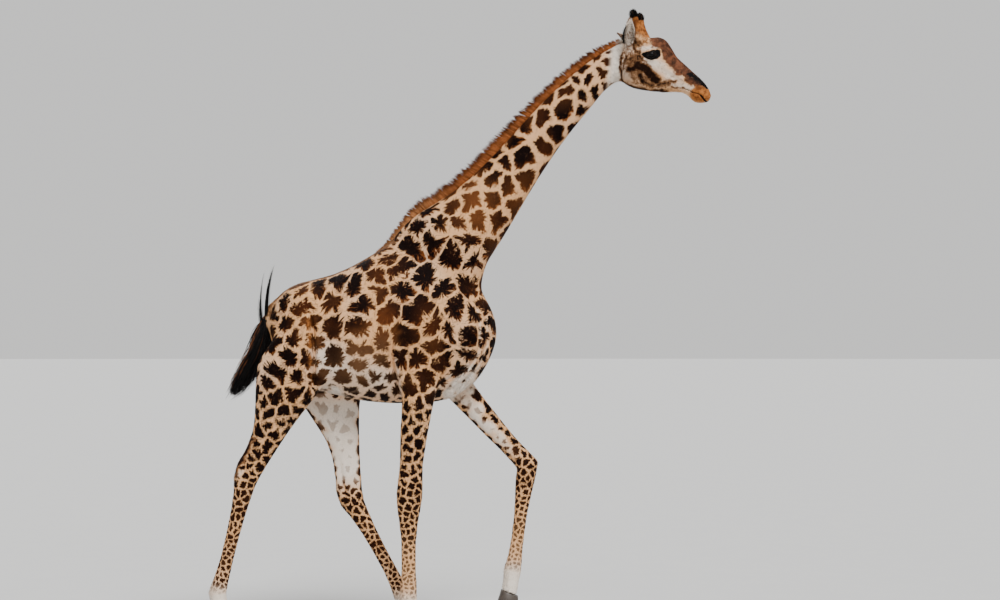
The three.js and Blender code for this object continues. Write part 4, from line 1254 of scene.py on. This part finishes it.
def hoof_finish():
    """Dark horn with growth rings, fine streaks and a dusty, worn lower edge."""
    c = colours()
    f = Finish("hoof_horn")
    here = f.place()
    _, _, z = f.parts(here)
    rings = f.noise(f.place((9, 9, 170)), 1.0, 2.0)
    streaks = f.noise(f.place((260, 260, 14)), 1.0, 2.0)
    cloud = f.noise(here, 26, 3.0)
    horn = f.blend(f.step(streaks * 0.6 + cloud * 0.6, 0.40, 0.85), c.hoof, (0.062, 0.046, 0.034))
    dust = f.step(cloud * 0.06 - z + 0.012, -0.006, 0.034)
    shade = f.blend(dust * 0.75, horn, (0.20, 0.155, 0.108))
    normal = f.bump(rings * 0.8 + streaks * 0.25, 0.7, 0.003)
    return f.surface(shade, 0.42 + 0.30 * dust + (rings - 0.5) * 0.1, normal)


def eye_finish():
    """A very dark brown eye with a wide dark pupil under a wet surface."""
    f = Finish("eye_ball")
    ahead, up, _ = f.parts(f.attribute("gaze"))
    ring = f.vector("LENGTH", f.add("CombineXYZ", {}, {0: ahead, 1: up}), out=1)
    pupil = f.vector("LENGTH", f.add("CombineXYZ", {}, {0: ahead * 0.62, 1: up}), out=1)
    grain = f.noise(f.attribute("gaze"), 14, 3.0)
    iris = f.blend(grain, (0.002, 0.0012, 0.001), (0.008, 0.004, 0.0025))
    white = f.blend(grain, (0.006, 0.004, 0.003), (0.024, 0.016, 0.012))
    shade = f.blend(f.step(ring, 0.66, 0.74), iris, white)
    shade = f.blend(f.step(pupil, 0.24, 0.28), (0.002, 0.002, 0.002), shade)
    wet = {"Coat_Weight": 0.10, "Coat_Roughness": 0.02}
    return f.surface(shade, 0.16 + 0.1 * grain, Specular_IOR_Level=0.07, **wet)


def lid_finish():
    """Bare dark skin at the rims of the lids."""
    f = Finish("lid_skin")
    here = f.place()
    fine = f.noise(here, 420, 3.0)
    shade = f.blend(fine, (0.003, 0.0025, 0.002), (0.010, 0.007, 0.0055))
    return f.surface(shade, 0.42 + 0.2 * fine, f.bump(fine, 0.5, 0.0015), Specular_IOR_Level=0.09)


# ------------------------------------------------------------------ hair
COAT_FIELDS = ("cell", "mark", "tone", "face", "deep", "strand")


class Ground:
    """The finished skin, ready for hair to be sown on it."""

    def __init__(self):
        mesh = bpy.data.objects["skin"].data
        mesh.calc_loop_triangles()
        self.corners = read(mesh.loop_triangles, "vertices", np.int32)
        loops = read(mesh.loop_triangles, "loops", np.int32)
        self.uv = read(mesh.uv_layers["OFBake"].data, "uv", np.float32, 2)[loops]
        self.points = vertices(mesh)
        self.normals = vertex_normals(mesh)
        self.fields = {name: read(mesh.attributes[name].data, "vector", np.float32) for name in COAT_FIELDS}
        a, b, c = self.points[self.corners].transpose(1, 0, 2)
        self.area = np.linalg.norm(np.cross(b - a, c - a), axis=1) / 2
        self.middle = (a + b + c) / 3

    def sow(self, count, weight, seed):
        """Random roots on the skin, thickest where weight(points, normals) is highest."""
        rng = np.random.default_rng(seed)
        chance = self.area * weight(self.middle, unit(self.normals[self.corners].sum(1)))
        picked = rng.choice(len(chance), count, p=chance / chance.sum())
        share = rng.dirichlet((1, 1, 1), count)[..., None]
        corners = self.corners[picked]
        roots = {name: (values[corners] * share).sum(1) for name, values in self.fields.items()}
        roots["points"] = (self.points[corners] * share).sum(1)
        roots["normals"] = unit((self.normals[corners] * share).sum(1))
        roots["uv"] = (self.uv[picked] * share).sum(1)
        roots["strand"][:, 1] = rng.random(count)
        return roots


def hair_shape(rings):
    """One lock as a thin closed cone from 0 to 1 up the z axis: its points and its triangles."""
    bm = bmesh.new()
    bmesh.ops.create_cone(bm, cap_ends=True, segments=3, radius1=0.5, radius2=0.0, depth=1.0)
    bmesh.ops.translate(bm, verts=bm.verts, vec=(0, 0, 0.5))
    bmesh.ops.remove_doubles(bm, verts=bm.verts, dist=1e-5)
    for i in range(1, rings):
        everything = bm.verts[:] + bm.edges[:] + bm.faces[:]
        bmesh.ops.bisect_plane(bm, geom=everything, plane_co=(0, 0, i / rings), plane_no=(0, 0, 1))
    bmesh.ops.triangulate(bm, faces=bm.faces)
    bm.verts.index_update()
    points = np.array([vert.co for vert in bm.verts])
    corners = np.array([[vert.index for vert in face.verts] for face in bm.faces])
    bm.free()
    return points, corners


def grown(name, shape, roots, way, bend, width, flat=0.5):
    """A mesh of hair: a copy of the lock's shape at each root, along its way and bent."""
    points, corners = shape
    count, each = len(way), len(points)
    t = points[None, :, 2:]
    fat = np.maximum(1 - t, 0.02) ** -0.35
    across = unit(np.cross(roots["normals"], way))
    thick = unit(np.cross(way, across))
    width = np.broadcast_to(width, count)[:, None, None]
    where = roots["points"][:, None] + way[:, None] * t + bend[:, None] * t**2
    ring = across[:, None] * points[None, :, :1] + thick[:, None] * points[None, :, 1:2] * flat
    where = where + ring * fat * width
    faces = (corners[None] + np.arange(count)[:, None, None] * each).reshape(-1, 3)
    mesh = bpy.data.meshes.new(name)
    mesh.vertices.add(count * each)
    mesh.loops.add(faces.size)
    mesh.polygons.add(len(faces))
    mesh.vertices.foreach_set("co", where.astype(np.float32).ravel())
    mesh.loops.foreach_set("vertex_index", faces.astype(np.int32).ravel())
    mesh.polygons.foreach_set("loop_start", np.arange(0, faces.size, 3, dtype=np.int32))
    mesh.update(calc_edges=True)
    strand = np.repeat(roots["strand"], each, axis=0)
    strand[:, 0] = np.tile(points[:, 2], count)
    for field in COAT_FIELDS:
        if field in roots:
            store(mesh, field, strand if field == "strand" else np.repeat(roots[field], each, axis=0))
    patch = 0.0015 * np.stack([2 * points[:, 0], 2 * points[:, 2] - 1], -1)
    spread = (roots["uv"][:, None] + patch[None]).reshape(-1, 2)
    mesh.uv_layers.new(name="OFBake").data.foreach_set("uv", spread[faces.ravel()].astype(np.float32).ravel())
    smooth_faces(mesh)
    return mesh


def gridded(first, second):
    """A patch of its own for each root, in the order of its place along and across."""
    count = len(first)
    columns = int(math.ceil(math.sqrt(count)))
    uv = np.empty((count, 2))
    order = np.argsort(first, kind="stable")
    for column in range(columns):
        mine = order[column * columns:(column + 1) * columns]
        mine = mine[np.argsort(second[mine], kind="stable")]
        uv[mine, 0] = (column + 0.5) / columns
        uv[mine, 1] = (np.arange(len(mine)) + 0.5) / columns
    return uv


def strands(chance, third=0.0):
    """Each lock's chance and one more share; the place along the lock is filled in as it grows."""
    return np.stack([0 * chance, chance, third + 0 * chance], -1)


def jitter(rng, count, amount):
    return rng.normal(size=(count, 3)) * amount


def hair_form(points, normals):
    """Each tuft's length, width and how far it stands off the skin."""
    p = layout(points)
    s = straight_head(points)
    zone = zones(points)
    leg, down, on_leg = leg_places(points)
    size = np.full(len(points), sizes().coat_hair)
    wide = np.full(len(points), 0.0034)
    lift = np.full(len(points), 0.10)
    size = mix(size, 0.014, zone["neck"])
    wide = mix(wide, 0.0030, zone["neck"])
    size = mix(size, np.interp(down, [0, 1, 2, 3], [0.014, 0.010, 0.009, 0.008]), on_leg)
    wide = mix(wide, np.interp(down, [0, 1, 3], [0.0030, 0.0024, 0.0020]), on_leg)
    face = zone["head"]
    size = mix(size, mix(0.0085, 0.0050, smooth(1.15, 1.45, s[:, 0])), face)
    wide = mix(wide, mix(0.0018, 0.0013, smooth(1.15, 1.45, s[:, 0])), face)
    lift = mix(lift, 0.08, face)
    behind = smooth(0.1, 0.6, -normals[:, 0])
    hock = HIND[leg] * np.exp(-(((down - 1.0) / 0.10) ** 2)) * on_leg * behind
    heel = smooth(1.80, 2.0, down) * on_leg * behind
    keel = smooth(-0.75, -0.97, normals[:, 2]) * (p[:, 2] < 1.75) * (1 - on_leg)
    chest = spot(p, 0.05, 1.68, (0.12, 0.12))
    ridge = smooth(0.88, 0.99, normals[:, 2]) * (p[:, 0] < -0.6)
    jaw = smooth(-0.5, -0.9, normals[:, 2]) * face * (s[:, 0] < 1.42)
    nape = smooth(0.90, 0.98, p[:, 0]) * (1 - smooth(1.06, 1.12, p[:, 0])) * (p[:, 2] > HEAD_FLOOR)
    longer = ((hock, 0.020, 0.30), (heel, 0.020, 0.35), (keel, 0.022, 0.30), (chest, 0.022, 0.30),
              (ridge, 0.018, 0.22), (jaw, 0.014, 0.30), (nape, 0.016, 0.22))
    for share, long, rise in longer:
        share = np.clip(share, 0, 1)
        size = mix(size, long, share)
        lift = mix(lift, rise, share)
    return size, wide, lift


def coat_mesh(name, ground, count, weight, seed):
    """Short tufts over one part of the body."""
    roots = ground.sow(count, weight, seed)
    rng = np.random.default_rng(seed + 1)
    long, wide, lift = hair_form(roots["points"], roots["normals"])
    long = long * rng.uniform(0.7, 1.25, count)
    lie = unit(hair_way(roots["points"], roots["normals"]) + jitter(rng, count, 0.11))
    lie = unit(lie - roots["normals"] * (lie * roots["normals"]).sum(1)[:, None])
    lift = lift * rng.uniform(0.5, 1.5, count)
    way = (lie + roots["normals"] * 1.7 * lift[:, None]) * long[:, None]
    bend = -roots["normals"] * (0.8 * lift * long)[:, None]
    roots["points"] = roots["points"] - roots["normals"] * (0.10 * wide)[:, None]
    return grown(name, hair_shape(1), roots, way, bend, wide * rng.uniform(0.8, 1.2, count), 0.35)


def legs_weight(wanted):
    """Where the short coat grows on the hind legs, or on the forelegs."""
    def weight(points, normals):
        leg, down, on_leg = leg_places(points)
        above_hoof = layout(points)[:, 2] > 0.06
        return on_leg * (HIND[leg] == wanted) * above_hoof * (1 + 0.9 * smooth(0.8, 1.6, down)) + 1e-9
    return weight


def trunk_weight(points, normals):
    _, _, on_leg = leg_places(points)
    zone = zones(points)
    return (1 - on_leg) * (1 - zone["neck"]) * (1 - zone["head"]) + 1e-9


def neck_weight(points, normals):
    return zones(points)["neck"] + 1e-9


def head_weight(points, normals):
    s = straight_head(points)
    eye = np.linalg.norm((np.abs(s) - EYE_AT) / (1.0, 1.0, 0.75), axis=1)
    bare = smooth(0.030, 0.046, eye) * (1 - smooth(1.55, 1.58, s[:, 0]) * 0.6)
    p = layout(points)
    return smooth(0.97, 1.06, p[:, 0]) * (p[:, 2] > HEAD_FLOOR) * bare + 1e-9


COAT_PARTS = (
    ("coat_trunk", 0.36, trunk_weight),
    ("coat_neck", 0.24, neck_weight),
    ("coat_head", 0.26, head_weight),
    ("coat_forelegs", 0.20, legs_weight(False)),
    ("coat_hindlegs", 0.22, legs_weight(True)),
)


def mane_mesh():
    """Clumped upright hair along the crest, from the poll to the withers."""
    rng = np.random.default_rng(41)
    line = np.array([(x, 0, z) for x, z in CREST])
    steps = np.linspace(0, len(line) - 1, 600)
    far = np.append(0, np.cumsum(np.linalg.norm(np.diff(curve_point(line, steps), axis=0), axis=1)))
    count = sizes().mane_locks
    clumps = int(far[-1] / 0.0085)
    clump = rng.integers(0, clumps, count)
    at = (clump + 0.5 + rng.normal(0, 0.40, count)) / clumps
    at = np.clip(at, 0.001, 0.999)
    place = np.interp(at * far[-1], far, steps)
    here = curve_point(line, place)
    ahead = curve_way(line, place)
    out = np.stack([ahead[:, 2], 0 * place, -ahead[:, 0]], -1)
    side = np.clip(rng.normal(0, 0.0062, count), -0.014, 0.014)
    high = np.interp(at, np.linspace(0, 1, len(MANE_HEIGHTS)), MANE_HEIGHTS)
    tall = rng.uniform(0.80, 1.05, clumps)[clump] * rng.uniform(0.66, 1.0, count)
    root = here + np.array((0, 1, 0)) * side[:, None] - out * (0.012 + side**2 / 0.02)[:, None]
    lean = rng.normal(0.10, 0.05, clumps)[clump] + 0.10
    gather = (clump + 0.5) / clumps - at
    least = np.maximum(high, 0.02)
    tip = out + ahead * (lean + gather * far[-1] / least * 0.42)[:, None]
    tip = tip + np.array((0, 1, 0)) * (-side / least * 0.5 + rng.normal(0, 0.05, count))[:, None]
    way = unit(tip) * (high * tall + 0.012)[:, None]
    foot, head = bent_nape(root), bent_nape(root + way)
    roots = {"points": foot, "normals": np.tile((0.0, 1.0, 0.0), (count, 1)), "uv": gridded(at, side),
             "strand": strands(0.6 * rng.random(clumps)[clump] + 0.4 * rng.random(count), at)}
    bend = jitter(rng, count, 0.003) + ahead * (high * 0.10)[:, None]
    width = rng.uniform(0.0040, 0.0064, count)
    return grown("mane", hair_shape(3), roots, head - foot, bend, width, 0.7)


def tassel_mesh():
    """The long black hair at the end of the tail, with a warm painted highlight on the locks of one side
    towards its end.
    """
    rng = np.random.default_rng(51)
    count = sizes().tassel_locks
    line = np.asarray(TASSEL_LINE)
    last = len(line) - 1
    start = np.clip(rng.beta(1.1, 2.3, count) * 0.80, 0, 0.8)
    reach = np.clip(rng.normal(0.42, 0.12, count), 0.16, 0.7)
    end = np.minimum(start + reach, rng.uniform(0.90, 1.0, count))
    turn = rng.uniform(0, 2 * math.pi, count)
    deep = np.sqrt(rng.random(count))
    stray = jitter(rng, count, 1.0) * (0.006 + 0.022 * (rng.random(count) > 0.86))[:, None]
    where = []
    for share, grow, loose in ((start, 0.55, 0.3), ((start + end) / 2, 1.0, 1.0), (end, 0.75, 0.75)):
        middle = curve_point(line, share * last)
        across = np.tile((0.0, 1.0, 0.0), (count, 1))
        front = unit(np.cross(across, curve_way(line, share * last)))
        girth = np.interp(share, np.linspace(0, 1, len(TASSEL_GIRTH)), TASSEL_GIRTH) * grow * deep
        aside = across * (0.72 * girth * np.sin(turn))[:, None]
        where.append(middle + stray * loose + front * (girth * np.cos(turn))[:, None] + aside)
    root, half, tip = (framed(w) for w in where)
    bend = 2 * (root + tip - 2 * half)
    way = tip - root - bend
    # A warm painted highlight on the locks of one side, towards the tassel's lower end.
    sunlit = 0.35 * (np.cos(turn) > 0.45) * deep * smooth(0.45, 0.65, end) * smooth(1.0, 0.9, end)
    normals = unit(np.stack([np.cos(turn), np.sin(turn), 0 * turn], -1))
    roots = {"points": root, "normals": normals, "uv": gridded(start, turn),
             "strand": strands(rng.random(count), sunlit)}
    return grown("tail_tassel", hair_shape(7), roots, way, bend, rng.uniform(0.0045, 0.0085, count), 0.6)


def wisp_mesh():
    """A few long hairs that stand up from the tassel in thin curved strands."""
    rng = np.random.default_rng(61)
    parts = []
    for wisp, line in enumerate(TAIL_WISPS):
        line = np.asarray(line)
        count = 26 if wisp < 2 else 14
        end = rng.uniform(0.72, 1.0, count) * (len(line) - 1)
        spread = jitter(rng, count, 0.0045)
        half = curve_point(line, end * 0.52) + spread
        parts.append((line[0] + spread * 1.6, half, curve_point(line, end) + spread * 0.5))
    root, half, tip = (framed(np.concatenate(group)) for group in zip(*parts))
    bend = 2 * (root + tip - 2 * half)
    count = len(root)
    roots = {"points": root, "normals": np.tile((0.0, 1.0, 0.0), (count, 1)),
             "uv": gridded(root[:, 0], root[:, 1]), "strand": strands(rng.random(count) * 0.6)}
    width = rng.uniform(0.0022, 0.0036, count)
    return grown("tail_wisps", hair_shape(9), roots, tip - root - bend, bend, width, 0.8)


def both_sides(one_side):
    """What one_side gives for the right and then for the left side of the head, joined."""
    return [np.concatenate(group) for group in zip(*(one_side(side) for side in EARS))]


def sprouts(name, rings, seed, grow, width, flat=0.6, droop=(0, 0, 0)):
    """Hair on both sides of the head from grow(side): roots, ways and normals of the straight head."""
    root, way, normal = both_sides(grow)
    count = len(root)
    foot, tip = turned_head(root), turned_head(root + way)
    normals = unit(turned_head(root + normal) - foot)
    roots = {"points": foot, "normals": normals, "uv": gridded(root[:, 0], root[:, 2]),
             "strand": strands(np.random.default_rng(seed).random(count))}
    bend = np.asarray(droop, float) * np.linalg.norm(way, axis=1)[:, None]
    return grown(name, hair_shape(rings), roots, tip - foot, bend, width(count), flat)


def horn_tufts(each=560):
    """The black tufts on the tips of the two horns."""
    rng = np.random.default_rng(71)

    def grow(side):
        base, tip = (np.array(p) * (1, side, 1) for p in (HORN_ROOT, HORN_TIP))
        axis = unit(tip - base)
        ahead = unit(np.cross((0, 1, 0), axis))
        across = np.cross(axis, ahead)
        turn = rng.uniform(0, 2 * math.pi, each)
        up = rng.random(each)
        ring = ahead * np.cos(turn)[:, None] + across * np.sin(turn)[:, None]
        girth = np.interp(up, [0, 0.7, 1], [0.020, 0.018, 0.004])
        root = tip - axis * (0.046 * (1 - up) + 0.012)[:, None] + ring * girth[:, None]
        lean = ring * 0.55 + axis * (0.50 + 0.45 * up)[:, None] - np.array((0.30, 0, 0))
        lean = lean + jitter(rng, each, 0.16)
        return root, unit(lean) * (rng.uniform(0.015, 0.030, each) * (1 - 0.25 * up))[:, None], ring

    return sprouts("horn_tufts", 2, 72, grow, lambda count: rng.uniform(0.0022, 0.0036, count))


def lashes(each=62):
    """Long black lashes on the upper lids, longest towards the front."""
    rng = np.random.default_rng(81)

    def grow(side):
        centre, outward, ahead, up = eye_frame(side)
        turn = np.linspace(0.12, 2.75, each) + rng.normal(0, 0.02, each)
        edge = eye_opening(turn) * 1.04
        ray = ahead * np.cos(turn)[:, None] + up * np.sin(turn)[:, None]
        spoke = outward * np.cos(edge)[:, None] + ray * np.sin(edge)[:, None]
        long = np.interp(turn, [0.1, 0.7, 1.6, 2.8], [0.014, 0.024, 0.022, 0.010])
        long = long * rng.uniform(0.8, 1.1, each)
        clump = np.sin(turn * 23) * 0.14
        lean = outward + ray * 0.42 + ahead * (0.25 + clump)[:, None] + up * 0.1 + jitter(rng, each, 0.07)
        return centre + spoke * (EYE_RADIUS + 0.0028), unit(lean) * long[:, None], ray

    return sprouts("eye_lashes", 3, 82, grow, lambda count: 0.0014, 0.8, (0, 0, 0.22))


def ear_fringe(each=360):
    """Long pale hair inside the ears, along both edges."""
    rng = np.random.default_rng(91)

    def grow(side):
        base, axis, opens, edge = ear_frame(side)
        share = rng.uniform(0.06, 0.78, each)
        hand = rng.choice((-1.0, 1.0), each)
        across = rng.uniform(0.66, 0.93, each) * hand
        half, lift = ear_leaf(share, across)
        root = base + axis * share[:, None] + edge * (half * across)[:, None] + opens * lift[:, None]
        lean = opens * 0.55 - edge * (0.85 * hand)[:, None] + unit(axis) * 0.55 + jitter(rng, each, 0.14)
        return root, unit(lean) * rng.uniform(0.014, 0.030, each)[:, None], np.tile(opens, (each, 1))

    return sprouts("ear_fringe", 2, 92, grow, lambda count: rng.uniform(0.0012, 0.0022, count))


def nape_hair(ground, count=420):
    """Longer pale hair behind the ears, between them and the mane."""
    def weight(points, normals):
        s = straight_head(points)
        nape = np.exp(-(((s[:, 0] - 1.035) / 0.028) ** 2)) * smooth(0.55, 0.95, normals[:, 2])
        return nape * (s[:, 2] > 3.9) + 1e-12

    roots = ground.sow(count, weight, 95)
    rng = np.random.default_rng(96)
    way = np.array((-0.75, 0, 0.12)) + roots["normals"] * 0.75 + jitter(rng, count, 0.14)
    way = way * rng.uniform(0.018, 0.036, count)[:, None]
    bend = np.array((-0.006, 0, -0.006)) + jitter(rng, count, 0.001)
    return grown("nape_hair", hair_shape(3), roots, way, bend, rng.uniform(0.0020, 0.0032, count), 0.6)


# ------------------------------------------------------------------ eyes, lids and hooves
def eye_mesh():
    """Both eyeballs, each with a slightly bulging cornea."""
    bm = bmesh.new()
    gaze = []
    for side in EARS:
        centre, out, ahead, up = eye_frame(side)
        ball = bmesh.ops.create_icosphere(bm, subdivisions=5, radius=1.0)["verts"]
        for vert in ball:
            d = np.array(vert.co)
            a, u, o = d @ ahead, d @ up, d @ out
            gaze.append((a, u, o))
            cornea = 0.0022 * smooth(0.80, 0.95, o)
            vert.co = Vector(turned_head(centre + d * (EYE_RADIUS + cornea)))
    mesh = mesh_of(bm, "eyes")
    store(mesh, "gaze", np.array(gaze))
    smooth_faces(mesh)
    return mesh


def lid_mesh():
    """The rims of the lids: a soft ring round each eye's opening, sunk into the skin behind."""
    bm = bmesh.new()
    rise = sizes().lid
    steps = (0, 0.2, 0.5, 0.75, 1)
    for side in EARS:
        centre, out, ahead, up = eye_frame(side)

        def place(u, v):
            turn = 2 * math.pi * u
            edge = float(eye_opening(np.array(turn)))
            wide = np.interp(v, steps, [0.98, 1.0, 1.16, 1.36, 1.62])
            high = np.interp(v, steps, [-0.001, rise * 0.7, rise, rise * 0.75, -0.004])
            brow = 1 + 0.10 * max(math.sin(turn), 0) * v
            angle = edge * wide * brow
            ray = ahead * math.cos(turn) + up * math.sin(turn)
            spoke = out * math.cos(angle) + ray * math.sin(angle)
            return turned_head(centre + spoke * (EYE_RADIUS + high))

        sheet(bm, 56, 10, place)
    bmesh.ops.remove_doubles(bm, verts=bm.verts, dist=1e-5)
    bmesh.ops.recalc_face_normals(bm, faces=bm.faces)
    mesh = mesh_of(bm, "eye_lids")
    smooth_faces(mesh)
    return mesh


def hoof_mesh(name, nodes):
    """The two claws of one foot, rounded off, with the sole's flats kept."""
    bm = bmesh.new()
    for node in nodes:
        bm.from_mesh(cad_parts[node].data)
    bmesh.ops.remove_doubles(bm, verts=bm.verts, dist=1e-5)
    bmesh.ops.dissolve_limit(bm, angle_limit=math.radians(4), verts=bm.verts, edges=bm.edges)
    sharp = [edge for edge in bm.edges if edge.calc_face_angle(0) > math.radians(50)]
    bmesh.ops.bevel(bm, geom=sharp, offset=0.0035, affect="EDGES", segments=3, profile=0.5, material=-1)
    mesh = mesh_of(bm, name)
    smooth_faces(mesh)
    return mesh


# ------------------------------------------------------------------ operators
class GiraffeSkin(bpy.types.Operator):
    """Build the skin with its folds, ears and markings"""

    bl_idname = "giraffe.skin"
    bl_label = "Skin"

    def execute(self, context):
        mesh = flesh_mesh(sizes().mesh_step)
        base_smoothing(mesh)
        for wanted, times in ((fine_places, 3), (finest_places, 2)):
            refine(mesh, wanted(vertices(mesh)))
            rounded_places(mesh, wanted, times)
        sculpt(mesh)
        body = len(mesh.vertices)
        add_ears(mesh)
        mesh.name = "skin"
        paint(mesh, body)
        unwrap(mesh)
        smooth_faces(mesh)
        finished("skin", mesh, coat_finish("coat_on_skin"), "coat", *FLESH, *EAR_NODES)
        return {"FINISHED"}


class GiraffeCoat(bpy.types.Operator):
    """Grow the short coat in tufts, part by part"""

    bl_idname = "giraffe.coat"
    bl_label = "Short coat"

    def execute(self, context):
        ground = Ground()
        finish = coat_finish("coat_hair", hair=True)
        for i, (name, share, weight) in enumerate(COAT_PARTS):
            mesh = coat_mesh(name, ground, int(sizes().coat_tufts * share), weight, 100 + 2 * i)
            finished(name, mesh, finish, "coat")
        finished("nape_hair", nape_hair(ground), pale_hair_finish(), "pale_coat")
        return {"FINISHED"}


class GiraffeManeTail(bpy.types.Operator):
    """Grow the mane, the tail's tassel and its wisps"""

    bl_idname = "giraffe.mane_tail"
    bl_label = "Mane and tail"

    def execute(self, context):
        finished("mane_hair", mane_mesh(), mane_finish(), "mane_hair", "mane")
        black = black_finish("tail_hair", 0.04)
        finished("tassel", tassel_mesh(), black, "black_hair", "tail_tassel")
        finished("tail_wisps", wisp_mesh(), black, "black_hair")
        return {"FINISHED"}


class GiraffeHeadHair(bpy.types.Operator):
    """Grow the horn tufts, the lashes and the hair in the ears"""

    bl_idname = "giraffe.head_hair"
    bl_label = "Hair of the head"

    def execute(self, context):
        black = black_finish("head_black_hair", 0.05)
        finished("horn_tufts", horn_tufts(), black, "black_hair")
        finished("eye_lashes", lashes(), black, "black_hair")
        finished("ear_fringe", ear_fringe(), bpy.data.materials["pale_hair"], "pale_coat")
        return {"FINISHED"}


class GiraffeEyes(bpy.types.Operator):
    """Build the eyes and the rims of their lids"""

    bl_idname = "giraffe.eyes"
    bl_label = "Eyes and lids"

    def execute(self, context):
        finished("eyes", eye_mesh(), eye_finish(), "eye", "eye_left", "eye_right")
        finished("eye_lids", lid_mesh(), lid_finish(), "eye")
        return {"FINISHED"}


class GiraffeHooves(bpy.types.Operator):
    """Round off the claws of the four feet"""

    bl_idname = "giraffe.hooves"
    bl_label = "Hooves"

    def execute(self, context):
        finish = hoof_finish()
        for leg in LEGS:
            nodes = [node for node in HOOVES if node.startswith(leg)]
            finished(leg + "_claws", hoof_mesh(leg + "_claws", nodes), finish, "hoof", *nodes)
        return {"FINISHED"}


class GiraffeStage(bpy.types.Operator):
    """Set the floor, the soft light and the camera"""

    bl_idname = "giraffe.stage"
    bl_label = "Stage"

    def execute(self, context):
        scene = context.scene
        bm = bmesh.new()
        bmesh.ops.create_circle(bm, cap_ends=True, segments=96, radius=300.0)
        floor_mesh = mesh_of(bm, "floor")
        f = Finish("floor")
        grain = f.noise(f.place(), 3.0, 3.0)
        floor_mesh.materials.append(f.surface(f.blend(grain, (0.49, 0.49, 0.485), (0.52, 0.52, 0.515)), 0.9))
        floor = bpy.data.objects.new("floor", floor_mesh)
        scene.collection.objects.link(floor)
        world = bpy.data.worlds.new("studio")
        world.use_nodes = True
        sky = world.node_tree.nodes["Background"]
        sky.inputs["Color"].default_value = (0.90, 0.895, 0.885, 1.0)
        sky.inputs["Strength"].default_value = 0.92
        scene.world = world
        for name, way, power, spread in LIGHTS:
            light = bpy.data.lights.new(name, "SUN")
            light.energy = power
            light.angle = math.radians(spread)
            lamp = bpy.data.objects.new(name, light)
            lamp.rotation_euler = Vector(way).to_track_quat("Z", "Y").to_euler()
            scene.collection.objects.link(lamp)
        camera = bpy.data.objects.new("camera", bpy.data.cameras.new("camera"))
        camera.data.lens = 81.0
        camera.location = (0.198 + SHIFT, -15.0, 1.913)
        camera.rotation_euler = (math.radians(90 + 1.146), 0, 0)
        scene.collection.objects.link(camera)
        scene.camera = camera
        return {"FINISHED"}


LIGHTS = [
    ("key", (0.25, -0.75, 0.85), 3.8, 24),
    ("back", (-0.3, 0.8, 0.9), 1.4, 40),
]
OPERATORS = (
    GiraffeSkin, GiraffeCoat, GiraffeManeTail, GiraffeHeadHair, GiraffeEyes, GiraffeHooves, GiraffeStage,
)


class GiraffePanel(bpy.types.Panel):
    """The giraffe's pieces, in the order in which they are built"""

    bl_idname = "VIEW3D_PT_giraffe"
    bl_label = "Giraffe"
    bl_space_type = "VIEW_3D"
    bl_region_type = "UI"
    bl_category = "Giraffe"

    def draw(self, context):
        for group in (context.scene.giraffe_sizes, context.scene.giraffe_colours):
            for name in group.bl_rna.properties.keys():
                if name not in ("rna_type", "name"):
                    self.layout.prop(group, name)
        for operator in OPERATORS:
            self.layout.operator(operator.bl_idname)


CLASSES = (GiraffeSizes, GiraffeColours, *OPERATORS, GiraffePanel)


def register():
    for cls in CLASSES:
        bpy.utils.register_class(cls)
    bpy.types.Scene.giraffe_sizes = PointerProperty(type=GiraffeSizes)
    bpy.types.Scene.giraffe_colours = PointerProperty(type=GiraffeColours)


def unregister():
    del bpy.types.Scene.giraffe_sizes
    del bpy.types.Scene.giraffe_colours
    for cls in reversed(CLASSES):
        bpy.utils.unregister_class(cls)


def main():
    register()
    for operator in OPERATORS:
        area, name = operator.bl_idname.split(".")
        getattr(getattr(bpy.ops, area), name)()


if __name__ == "__main__":
    main()
